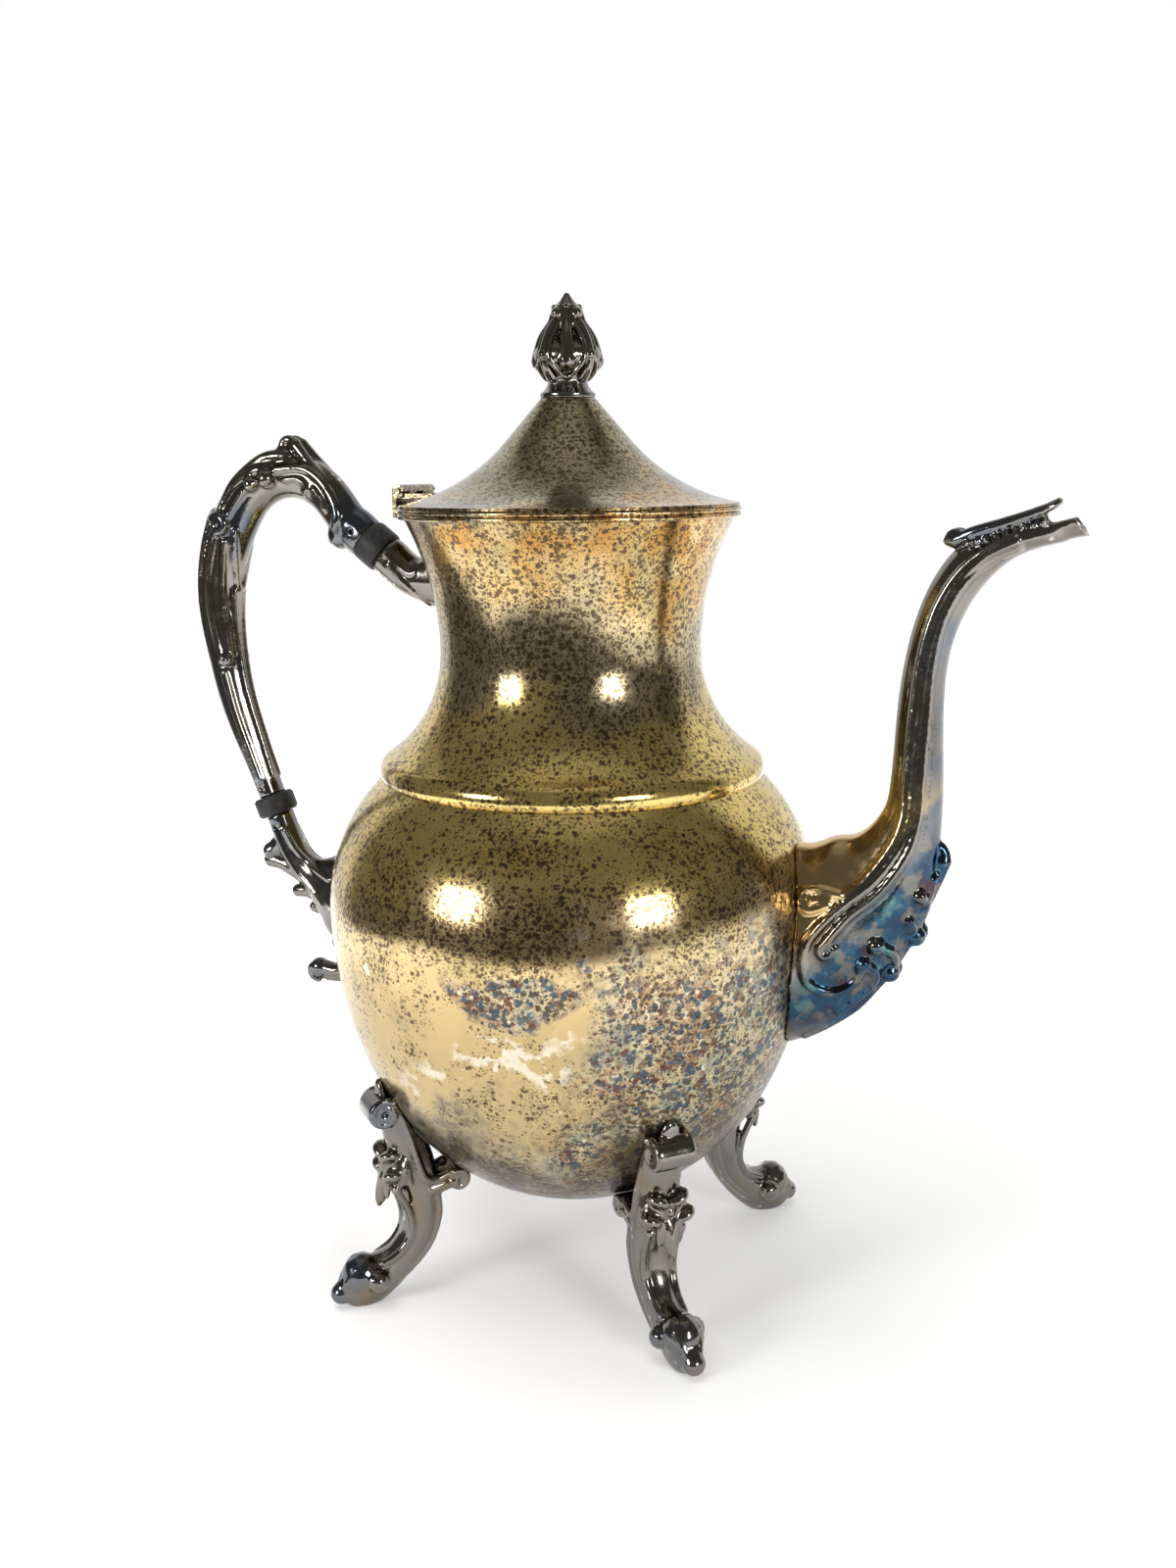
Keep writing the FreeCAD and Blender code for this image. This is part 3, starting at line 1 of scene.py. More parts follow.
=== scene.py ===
"""Dress the silver-plated coffee pot: spun shells, cast ornament, tarnished finishes and a studio."""
import logging
import math
from collections.abc import Callable, Sequence
from dataclasses import dataclass, field
from enum import Enum

import bmesh
import bpy
from mathutils import Matrix, Vector
from mathutils.bvhtree import BVHTree


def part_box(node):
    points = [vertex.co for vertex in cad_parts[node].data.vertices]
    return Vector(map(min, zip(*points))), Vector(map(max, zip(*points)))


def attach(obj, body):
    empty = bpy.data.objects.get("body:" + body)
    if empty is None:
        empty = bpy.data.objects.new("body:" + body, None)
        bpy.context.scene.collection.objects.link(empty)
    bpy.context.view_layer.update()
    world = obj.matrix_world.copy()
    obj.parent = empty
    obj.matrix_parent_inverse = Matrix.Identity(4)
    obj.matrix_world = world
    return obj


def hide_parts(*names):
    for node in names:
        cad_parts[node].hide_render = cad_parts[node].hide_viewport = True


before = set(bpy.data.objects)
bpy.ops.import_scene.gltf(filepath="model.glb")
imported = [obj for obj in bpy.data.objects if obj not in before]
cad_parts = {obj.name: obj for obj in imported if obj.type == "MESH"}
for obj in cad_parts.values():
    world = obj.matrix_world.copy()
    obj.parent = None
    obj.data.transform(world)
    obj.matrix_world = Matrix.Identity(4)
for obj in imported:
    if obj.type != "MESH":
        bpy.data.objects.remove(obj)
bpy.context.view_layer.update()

MM = 0.001
MERGE_DISTANCE = 1e-6
SHARP_ANGLE = math.radians(35)
LOG = logging.getLogger("coffee_pot")

Flat = tuple[float, float]
Place = tuple[float, float, float]
Colour = tuple[float, float, float, float]
Oval = tuple[float, float, float, float]
Stop = tuple[float, Colour]


class Body(Enum):
    """Rigid bodies of the pot."""

    POT = "pot"
    LID = "lid"


class Slot(Enum):
    """Material slots of the record."""

    PLATE = "silver_plate"
    CASTING = "silver_casting"
    INSULATOR = "insulator"
    FASTENER = "fastener"


class Side(Enum):
    """Sides of the upright plane through the spout and the handle."""

    RIGHT = -1
    LEFT = 1


def axis_x() -> float:
    """Give the X of the pot's upright axis, in metres."""
    low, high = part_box("bowl")
    return (low[0] + high[0]) / 2


AXIS = axis_x()


def spot(x: float, y: float, z: float) -> Vector:
    """Turn millimetres from the pot's axis into metres of the frame."""
    return Vector((x * MM + AXIS, y * MM, z * MM))


class Wiring:
    """A node tree, with short ways to add and link nodes."""

    def __init__(self, tree: bpy.types.NodeTree) -> None:
        """Empty the tree.

        Args:
            tree: Tree of a material or a world.
        """
        self.tree = tree
        tree.nodes.clear()

    def put(self, value: object, socket: bpy.types.NodeSocket) -> None:
        """Link a value's socket to an input, or set the input."""
        if isinstance(value, bpy.types.NodeSocket):
            self.tree.links.new(value, socket)
        else:
            socket.default_value = value

    def add(self, kind: str, inputs: dict[int | str, object] | None = None, **settings: object) -> bpy.types.Node:
        """Add a node.

        Args:
            kind: Node type without its ShaderNode prefix.
            inputs: Values or sockets by input name or number.
            settings: Properties of the node.

        Returns:
            The new node.
        """
        node = self.tree.nodes.new(f"ShaderNode{kind}")
        for key, value in settings.items():
            setattr(node, key, value)
        for key, value in (inputs or {}).items():
            self.put(value, node.inputs[key])
        return node

    def math(self, operation: str, first: object, second: object) -> bpy.types.NodeSocket:
        """Combine two numbers."""
        return self.add("Math", {0: first, 1: second}, operation=operation).outputs[0]

    def times(self, first: object, *others: object) -> bpy.types.NodeSocket:
        """Multiply numbers."""
        for other in others:
            first = self.math("MULTIPLY", first, other)
        return first

    def ramp(self, value: object, low: float, high: float) -> bpy.types.NodeSocket:
        """Ease from 0 at low to 1 at high."""
        return self.add("MapRange", {0: value, 1: low, 2: high}, interpolation_type="SMOOTHSTEP").outputs[0]

    def fall(self, value: object, low: float, high: float) -> bpy.types.NodeSocket:
        """Ease from 1 at low to 0 at high."""
        return self.math("SUBTRACT", 1.0, self.ramp(value, low, high))

    def zone(self, value: object, rise: Flat, drop: Flat) -> bpy.types.NodeSocket:
        """Ease in over one range and out again over a later one."""
        return self.times(self.ramp(value, *rise), self.fall(value, *drop))

    def mix(self, share: object, first: object, second: object) -> bpy.types.NodeSocket:
        """Mix two colours."""
        return self.add("Mix", {0: share, 6: first, 7: second}, data_type="RGBA").outputs[2]


class Shader(Wiring):
    """A material with one principled surface."""

    def __init__(self, name: str) -> None:
        """Start the material.

        Args:
            name: The material's name.
        """
        self.material = bpy.data.materials.new(name)
        self.material.use_nodes = True
        super().__init__(self.material.node_tree)
        self.surface = self.add("BsdfPrincipled")
        self.add("OutputMaterial", {0: self.surface.outputs[0]})
        self.place = self.add("TexCoord").outputs["Object"]

    def noise(self, scale: float, detail: float = 4.0, rough: float = 0.55) -> bpy.types.NodeSocket:
        """Give fractal noise on the object's own coordinates."""
        inputs = {"Vector": self.place, "Scale": scale, "Detail": detail, "Roughness": rough}
        return self.add("TexNoise", inputs).outputs[0]

    def cells(self, scale: float, where: object) -> bpy.types.Node:
        """Give a cell pattern with its distance and a colour for each cell."""
        return self.add("TexVoronoi", {"Vector": where, "Scale": scale})

    def band(self, value: object, stops: Sequence[Stop]) -> bpy.types.NodeSocket:
        """Turn a number into a colour along a row of stops."""
        node = self.add("ValToRGB", {0: value})
        elements = node.color_ramp.elements
        while len(elements) < len(stops):
            elements.new(1.0)
        for element, (position, colour) in zip(elements, stops):
            element.position = position
            element.color = colour
        return node.outputs[0]

    def bump(self, height: object, depth: float) -> None:
        """Raise the surface by a height of so many metres."""
        node = self.add("Bump", {"Height": height, "Distance": depth, "Strength": 1.0})
        self.wire(node.outputs[0], "Normal")

    def wire(self, value: object, socket: str) -> None:
        """Set or link one input of the surface."""
        self.put(value, self.surface.inputs[socket])

    def sheen(self, value: object, spread: float, least: float) -> bpy.types.NodeSocket:
        """Turn a pattern into a roughness from least upwards."""
        return self.math("ADD", self.times(value, spread), least)


@dataclass(frozen=True)
class PlateFinish:
    """Tarnished silver plate on the spun shells, with its edges and zones in metres."""

    clear: Colour = (0.72, 0.54, 0.275, 1.0)
    buff: Colour = (0.62, 0.465, 0.232, 1.0)
    olive: Colour = (0.42, 0.33, 0.15, 1.0)
    grey: Colour = (0.34, 0.30, 0.20, 1.0)
    amber: Colour = (0.52, 0.28, 0.07, 1.0)
    speck: Colour = (0.085, 0.055, 0.032, 1.0)
    bare: Colour = (0.93, 0.84, 0.68, 1.0)
    gold: Colour = (0.78, 0.58, 0.17, 1.0)
    right: Place = (0.935, 0.353, 0.0)
    ragged: float = 0.075
    lower_edge: Flat = (0.102, 0.128)
    stained_edge: Flat = (-0.008, 0.010)
    foot_edge: Flat = (0.050, 0.075)
    amber_edge: Flat = (0.203, 0.222)
    crown_edge: Flat = (0.228, 0.236)
    grey_zone: tuple[Flat, Flat] = ((0.158, 0.180), (0.200, 0.214))
    waist_zone: tuple[Flat, Flat] = ((0.122, 0.142), (0.172, 0.188))
    cluster: Oval = (-0.019, 0.107, 0.017, 0.011)
    worn: Oval = (-0.022, 0.084, 0.019, 0.008)
    clouds: tuple[Stop, ...] = (
        (0.30, (0.10, 0.16, 0.24, 1.0)), (0.42, (0.26, 0.30, 0.27, 1.0)), (0.50, (0.62, 0.54, 0.34, 1.0)),
        (0.58, (0.30, 0.14, 0.09, 1.0)), (0.70, (0.70, 0.62, 0.42, 1.0)))
    spots: tuple[Stop, ...] = (
        (0.0, (0.045, 0.075, 0.12, 1.0)), (0.28, (0.10, 0.15, 0.17, 1.0)), (0.45, (0.16, 0.06, 0.04, 1.0)),
        (0.62, (0.66, 0.56, 0.36, 1.0)), (0.80, (0.10, 0.065, 0.05, 1.0)), (1.0, (0.82, 0.72, 0.50, 1.0)))

    def build(self) -> bpy.types.Material:
        """Make the material.

        Returns:
            Gold-grey metal with specks, stained patches and coloured spots.
        """
        shader = Shader("tarnished_plate")
        shift = shader.add("Mapping", {0: shader.place, 1: (-AXIS, 0.0, 0.0)}).outputs[0]
        across = shader.add("VectorMath", {0: shift, 1: self.right}, operation="DOT_PRODUCT").outputs["Value"]
        cloud = shader.noise(28.0, 5.0)
        wave = shader.times(shader.math("SUBTRACT", cloud, 0.5), self.ragged)
        tall = shader.math("ADD", shader.add("SeparateXYZ", {0: shift}).outputs[2], wave)
        wide = shader.math("ADD", across, wave)
        lower = shader.fall(tall, *self.lower_edge)
        foot = shader.fall(tall, *self.foot_edge)
        spotty = shader.times(lower, shader.ramp(wide, *self.stained_edge))
        spotty = shader.math("MAXIMUM", spotty, self._island(shader, wide, tall, self.cluster))
        spotty = shader.math("MAXIMUM", spotty, shader.times(foot, 0.85))
        smooth = shader.times(lower, shader.math("SUBTRACT", 1.0, spotty))
        waist = shader.zone(tall, *self.waist_zone)
        colour = self._ground(shader, tall, smooth, waist)
        rainbow = shader.band(shader.noise(46.0, 6.0, 0.65), self.clouds)
        colour = shader.mix(shader.times(spotty, 0.78), colour, rainbow)
        wobble = shader.add("TexNoise", {"Vector": shader.place, "Scale": 420.0, "Detail": 2.0}).outputs[1]
        bent = shader.add("VectorMath", {0: wobble, 1: (0.0016, 0.0016, 0.0016)}, operation="MULTIPLY").outputs[0]
        bent = shader.add("VectorMath", {0: shader.place, 1: bent}, operation="ADD").outputs[0]
        colour = self._spots(shader, bent, spotty, colour)
        calm = shader.math("MAXIMUM", smooth, shader.times(waist, 0.45))
        colour = self._specks(shader, bent, calm, spotty, colour)
        colour = shader.mix(shader.times(foot, 0.55), colour, self.speck)
        patch = shader.times(smooth, foot, shader.ramp(cloud, 0.55, 0.60))
        chips = shader.times(smooth, shader.ramp(shader.noise(90.0, 3.0), 0.665, 0.685))
        worn = shader.times(self._island(shader, wide, tall, self.worn),
                            shader.ramp(shader.noise(150.0, 4.0), 0.46, 0.50))
        patch = shader.math("MAXIMUM", shader.math("MAXIMUM", patch, chips), worn)
        shader.wire(shader.mix(shader.times(patch, 0.8), colour, self.bare), "Base Color")
        shader.wire(0.90, "Metallic")
        dull = shader.ramp(shader.noise(160.0, 6.0, 0.7), 0.3, 0.75)
        shader.wire(shader.math("ADD", shader.sheen(dull, 0.10, 0.13), shader.times(spotty, 0.10)), "Roughness")
        shader.bump(shader.noise(2600.0, 3.0), 0.000012)
        return shader.material

    def _ground(self, shader: Shader, tall: object, smooth: object, waist: object) -> bpy.types.NodeSocket:
        """Lay the broad tones of the bowl, neck and lid.

        Args:
            shader: Material under work.
            tall: Height, with a ragged edge.
            smooth: Where the plate is nearly clear.
            waist: The golden zone round the seam of bowl and neck.

        Returns:
            The colour under the spots and specks.
        """
        crown = shader.ramp(tall, *self.crown_edge)
        amber = shader.times(shader.ramp(tall, *self.amber_edge), shader.math("SUBTRACT", 1.0, crown))
        grey = shader.times(shader.zone(tall, *self.grey_zone), 0.7)
        grey = shader.math("MAXIMUM", grey, shader.times(crown, 0.85))
        stain = shader.ramp(shader.noise(55.0, 6.0, 0.6), 0.40, 0.66)
        colour = shader.mix(stain, self.clear, self.olive)
        colour = shader.mix(shader.times(smooth, 0.75), colour, self.buff)
        colour = shader.mix(grey, colour, self.grey)
        colour = shader.mix(shader.times(waist, 0.65), colour, self.gold)
        blush = shader.times(amber, shader.ramp(shader.noise(70.0, 5.0), 0.38, 0.62))
        return shader.mix(blush, colour, self.amber)

    def _island(self, shader: Shader, wide: object, tall: object, oval: Oval) -> bpy.types.NodeSocket:
        """Mark a ragged oval on the plate.

        Args:
            shader: Material under work.
            wide: Metres to the right, with a ragged edge.
            tall: Height, with a ragged edge.
            oval: Middle to the right, middle's height, half width and half height, metres.

        Returns:
            1 inside the oval, 0 outside.
        """
        aside, height, half_wide, half_tall = oval
        off = shader.add("CombineXYZ", {
            0: shader.math("DIVIDE", shader.math("SUBTRACT", wide, aside), half_wide),
            1: shader.math("DIVIDE", shader.math("SUBTRACT", tall, height), half_tall)}).outputs[0]
        reach = shader.add("VectorMath", {0: off}, operation="LENGTH").outputs["Value"]
        return shader.fall(reach, 0.75, 1.15)

    def _spots(self, shader: Shader, where: object, share: object, colour: object) -> bpy.types.NodeSocket:
        """Add the round coloured spots of the stained side.

        Args:
            shader: Material under work.
            where: Slightly bent coordinates.
            share: Where the spots lie.
            colour: Colour so far.

        Returns:
            The colour with spots.
        """
        for scale, reach in ((280.0, 0.62), (470.0, 0.62), (820.0, 0.60)):
            cells = shader.cells(scale, where)
            hue = shader.add("SeparateColor", {0: cells.outputs[1]}).outputs
            tint = shader.band(hue[0], self.spots)
            edge = shader.math("SUBTRACT", cells.outputs[0], shader.times(hue[1], reach))
            disc = shader.times(shader.fall(edge, 0.02, 0.16), share, 0.95)
            colour = shader.mix(disc, colour, tint)
        return colour

    def _specks(self, shader: Shader, where: object, smooth: object, spotty: object,
                colour: object) -> bpy.types.NodeSocket:
        """Add the fine dark specks that cover the plate.

        Args:
            shader: Material under work.
            where: Slightly bent coordinates.
            smooth: Where the plate is nearly clear.
            spotty: Where the coloured spots lie.
            colour: Colour so far.

        Returns:
            The colour with specks.
        """
        clear = shader.math("ADD", shader.times(smooth, 0.62), shader.times(spotty, 0.45))
        density = shader.math("SUBTRACT", shader.ramp(shader.noise(75.0, 6.0, 0.65), 0.25, 0.75), clear)
        for scale, depth in ((560.0, 0.88), (950.0, 0.88), (1700.0, 0.80)):
            cells = shader.cells(scale, where)
            pick = shader.add("SeparateColor", {0: cells.outputs[1]}).outputs[2]
            wanted = shader.ramp(shader.math("SUBTRACT", shader.math("ADD", density, 0.36), pick), 0.0, 0.12)
            dot = shader.fall(cells.outputs[0], 0.26, 0.50)
            colour = shader.mix(shader.times(dot, wanted, depth), colour, self.speck)
        return colour


@dataclass(frozen=True)
class CastingFinish:
    """Dark tarnished plate on the castings, worn bright on its ridges."""

    deep: Colour = (0.028, 0.026, 0.025, 1.0)
    body: Colour = (0.225, 0.212, 0.190, 1.0)
    ridge: Colour = (0.60, 0.545, 0.45, 1.0)
    bronze: Colour = (0.235, 0.165, 0.085, 1.0)
    blue: Colour = (0.085, 0.125, 0.185, 1.0)
    yellow: Colour = (0.72, 0.52, 0.25, 1.0)
    slate: Colour = (0.085, 0.09, 0.088, 1.0)
    stains: tuple[Stop, ...] = (
        (0.36, (0.055, 0.032, 0.045, 1.0)), (0.45, (0.016, 0.050, 0.10, 1.0)), (0.56, (0.020, 0.075, 0.13, 1.0)),
        (0.64, (0.085, 0.18, 0.19, 1.0)))
    spout_tilt: float = 1.2

    def build(self) -> bpy.types.Material:
        """Make the material.

        Returns:
            Dark glossy metal with bright ridges, dark hollows and tints.
        """
        shader = Shader("tarnished_casting")
        bend = shader.add("NewGeometry").outputs["Pointiness"]
        tone = shader.band(bend, ((0.44, self.deep), (0.495, self.body), (0.525, self.body), (0.60, self.ridge)))
        warm = shader.ramp(shader.noise(48.0, 5.0, 0.6), 0.52, 0.70)
        tone = shader.mix(shader.times(warm, 0.55), tone, self.bronze)
        cool = shader.add("TexNoise", {"Vector": shader.place, "Scale": 34.0, "W": 3.0, "Detail": 4.0},
                          noise_dimensions="4D").outputs[0]
        tone = shader.mix(shader.times(shader.ramp(cool, 0.52, 0.66), 0.60), tone, self.blue)
        shader.wire(self._spout_stain(shader, tone), "Base Color")
        shader.wire(1.0, "Metallic")
        dull = shader.ramp(shader.noise(240.0, 6.0, 0.7), 0.35, 0.75)
        shader.wire(shader.sheen(dull, 0.16, 0.11), "Roughness")
        shader.bump(shader.noise(900.0, 4.0), 0.00003)
        return shader.material

    def _spout_stain(self, shader: Shader, tone: object) -> bpy.types.NodeSocket:
        """Stain the spout's base: yellow-brown above, deep blue below.

        Args:
            shader: Material under work.
            tone: Colour so far.

        Returns:
            The colour with the stains.
        """
        parts = shader.add("SeparateXYZ", {0: shader.place}).outputs
        out = shader.ramp(parts[0], AXIS + 0.058, AXIS + 0.066)
        lean = shader.times(shader.math("SUBTRACT", parts[0], AXIS), self.spout_tilt)
        slope = shader.math("SUBTRACT", parts[2], lean)
        high = shader.times(shader.ramp(slope, 0.024, 0.028), shader.fall(parts[2], 0.140, 0.165), out)
        low = shader.times(shader.ramp(parts[2], 0.080, 0.092), shader.fall(slope, 0.010, 0.020), out)
        tone = shader.mix(shader.times(high, 0.85), tone, self.yellow)
        tone = shader.mix(shader.times(low, 0.55), tone, self.slate)
        patchy = shader.ramp(shader.noise(150.0, 6.0, 0.65), 0.38, 0.52)
        hue = shader.band(shader.noise(110.0, 5.0, 0.6), self.stains)
        return shader.mix(shader.times(low, patchy, 0.9), tone, hue)


@dataclass(frozen=True)
class FibreFinish:
    """Matt black fibre of the insulators."""

    colour: Colour = (0.018, 0.018, 0.019, 1.0)
    worn: Colour = (0.07, 0.066, 0.06, 1.0)

    def build(self) -> bpy.types.Material:
        """Make the material with a fine dusty grain."""
        shader = Shader("black_fibre")
        grain = shader.ramp(shader.noise(700.0, 6.0, 0.7), 0.45, 0.8)
        shader.wire(shader.mix(grain, self.colour, self.worn), "Base Color")
        shader.wire(shader.sheen(grain, 0.2, 0.5), "Roughness")
        shader.bump(grain, 0.00005)
        return shader.material


@dataclass(frozen=True)
class FastenerFinish:
    """Plain dull metal of the pins, screw, washer and nut."""

    clean: Colour = (0.50, 0.44, 0.33, 1.0)
    dirty: Colour = (0.14, 0.11, 0.08, 1.0)

    def build(self) -> bpy.types.Material:
        """Make the material with dirt in patches."""
        shader = Shader("dull_metal")
        dirt = shader.ramp(shader.noise(500.0, 5.0, 0.65), 0.4, 0.7)
        shader.wire(shader.mix(dirt, self.clean, self.dirty), "Base Color")
        shader.wire(1.0, "Metallic")
        shader.wire(shader.sheen(dirt, 0.25, 0.25), "Roughness")
        return shader.material


@dataclass(frozen=True)
class Finishes:
    """All materials of the pot."""

    plate: bpy.types.Material = field(default_factory=lambda: PlateFinish().build())
    casting: bpy.types.Material = field(default_factory=lambda: CastingFinish().build())
    fibre: bpy.types.Material = field(default_factory=lambda: FibreFinish().build())
    fastener: bpy.types.Material = field(default_factory=lambda: FastenerFinish().build())


def keep(mesh: bpy.types.Mesh, name: str, node: str, body: Body,
         material: bpy.types.Material) -> None:
    """Put a finished mesh into the scene as a piece.

    Args:
        mesh: Finished mesh in the frame's own place.
        name: Piece name.
        node: Node that the piece stands for.
        body: Body that the piece rides on.
        material: Finish.
    """
    piece = bpy.data.objects.new(name, mesh)
    bpy.context.scene.collection.objects.link(piece)
    mesh.materials.clear()
    mesh.materials.append(material)
    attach(piece, body.value)
    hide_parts(node)
    LOG.info("%s: %d faces", name, len(mesh.polygons))


def as_mesh(work: bmesh.types.BMesh, name: str) -> bpy.types.Mesh:
    """Turn a finished bmesh into a mesh and free it."""
    mesh = bpy.data.meshes.new(name)
    work.to_mesh(mesh)
    work.free()
    return mesh


def bake(mesh: bpy.types.Mesh, setup: Callable[[bpy.types.Object], None]) -> bpy.types.Mesh:
    """Apply modifiers to a mesh.

    Args:
        mesh: Mesh to change.
        setup: Adds the modifiers to a helper object.

    Returns:
        A new mesh with the modifiers applied.
    """
    helper = bpy.data.objects.new("helper", mesh)
    bpy.context.scene.collection.objects.link(helper)
    setup(helper)
    graph = bpy.context.evaluated_depsgraph_get()
    graph.update()
    result = bpy.data.meshes.new_from_object(helper.evaluated_get(graph))
    bpy.data.objects.remove(helper)
    return result


class Outline:
    """Half section of a turned piece, drawn in radius and height."""

    def __init__(self, radius: float, height: float) -> None:
        """Start at a point, in millimetres."""
        self.points: list[Flat] = [(radius, height)]

    def line(self, radius: float, height: float) -> "Outline":
        """Go straight to a point."""
        self.points.append((radius, height))
        return self

    def arc(self, radius: float, height: float, curve: float, turn: int, steps: int = 18) -> "Outline":
        """Go to a point on an arc.

        Args:
            radius: Radius of the end point.
            height: Height of the end point.
            curve: Radius of the arc.
            turn: 1 turns left, -1 right.
            steps: Straight pieces of the arc.

        Returns:
            This outline.
        """
        first, last = Vector(self.points[-1]), Vector((radius, height))
        chord = last - first
        left = Vector((-chord.y, chord.x)).normalized() * turn
        centre = (first + last) / 2 + left * math.sqrt(max(curve ** 2 - (chord.length / 2) ** 2, 0.0))
        begin = math.atan2(first.y - centre.y, first.x - centre.x)
        sweep = math.atan2(last.y - centre.y, last.x - centre.x) - begin
        sweep = (sweep * turn) % math.tau * turn
        for step in range(1, steps + 1):
            angle = begin + sweep * step / steps
            self.points.append((centre.x + curve * math.cos(angle), centre.y + curve * math.sin(angle)))
        return self

    def spun(self, name: str, turns: int = 160) -> bpy.types.Mesh:
        """Turn the outline about the pot's axis.

        Args:
            name: Name of the mesh.
            turns: Steps round the axis.

        Returns:
            A smooth mesh with its sharp edges marked.
        """
        work = bmesh.new()
        verts = [work.verts.new(spot(radius, 0.0, height)) for radius, height in self.points]
        edges = [work.edges.new(pair) for pair in zip(verts, verts[1:])]
        bmesh.ops.spin(work, geom=verts + edges, cent=spot(0, 0, 0), axis=(0, 0, 1), dvec=(0, 0, 0),
                       angle=math.tau, steps=turns, use_merge=True, use_duplicate=False)
        bmesh.ops.remove_doubles(work, verts=work.verts, dist=MERGE_DISTANCE)
        bmesh.ops.recalc_face_normals(work, faces=work.faces)
        mesh = as_mesh(work, name)
        mesh.shade_smooth()
        mesh.set_sharp_from_angle(angle=SHARP_ANGLE)
        return mesh


@dataclass
class Bowl:
    """The spun bowl with its pouring holes, in millimetres."""

    wall: float = 1.0
    foot: float = 25.4
    radius: float = 72.3
    belly: float = 117.0
    side_arc: float = 122.8
    bottom_centre: float = 91.7
    seat_radius: float = 55.9
    seat: float = 154.0
    mouth_radius: float = 53.4
    hole_radius: float = 2.2
    hole_ring: float = 9.0
    hole_drop: float = 8.0
    holes: int = 6
    drill_inset: float = 4.0
    drill_length: float = 18.0

    def wall_points(self, inset: float, mouth: float) -> Outline:
        """Draw one face of the wall from the bottom up.

        Args:
            inset: Distance inside the outer face.
            mouth: Radius of the opening.

        Returns:
            The open line.
        """
        rise = self.seat - self.belly
        shrink = self.radius - self.seat_radius
        shoulder = (shrink ** 2 + rise ** 2) / (2 * shrink)
        bottom = self.bottom_centre - self.foot
        reach = math.hypot(self.side_arc - self.radius, self.bottom_centre - self.belly)
        out = (self.side_arc - self.radius) / reach
        up = (self.bottom_centre - self.belly) / reach
        line = Outline(0.0, self.foot + inset)
        line.arc((bottom - inset) * out, self.bottom_centre + (bottom - inset) * up, bottom - inset, 1, 26)
        line.arc(self.radius - inset, self.belly, self.side_arc - inset, 1, 22)
        top = self.belly + math.sqrt((shoulder - inset) ** 2 - (mouth - self.radius + shoulder) ** 2)
        return line.arc(mouth, top, shoulder - inset, 1, 22)

    def build(self, finish: bpy.types.Material) -> None:
        """Spin the shell and drill its holes.

        Args:
            finish: Plate material.
        """
        shell = self.wall_points(0.0, self.mouth_radius)
        inside = self.wall_points(self.wall, self.mouth_radius - self.wall)
        shell.points += inside.points[::-1]
        mesh = bake(shell.spun("bowl_shell"), self._drill)
        mesh.set_sharp_from_angle(angle=SHARP_ANGLE)
        keep(mesh, "bowl_shell", "bowl", Body.POT, finish)

    def _drill(self, helper: bpy.types.Object) -> None:
        """Add the pouring holes as a boolean cut."""
        work = bmesh.new()
        turn = Matrix.Rotation(math.pi / 2, 4, "Y")
        for index in range(self.holes + 1):
            angle = math.tau * index / self.holes
            ring = self.hole_ring if index < self.holes else 0.0
            place = spot(self.radius - self.drill_inset, ring * math.cos(angle),
                         self.belly - self.hole_drop + ring * math.sin(angle))
            bmesh.ops.create_cone(work, cap_ends=True, segments=20, radius1=self.hole_radius * MM,
                                  radius2=self.hole_radius * MM, depth=self.drill_length * MM,
                                  matrix=Matrix.Translation(place) @ turn)
        cutter = bpy.data.objects.new("pouring_holes", as_mesh(work, "pouring_holes"))
        cut = helper.modifiers.new("holes", "BOOLEAN")
        cut.operation = "DIFFERENCE"
        cut.solver = "EXACT"
        cut.object = cutter


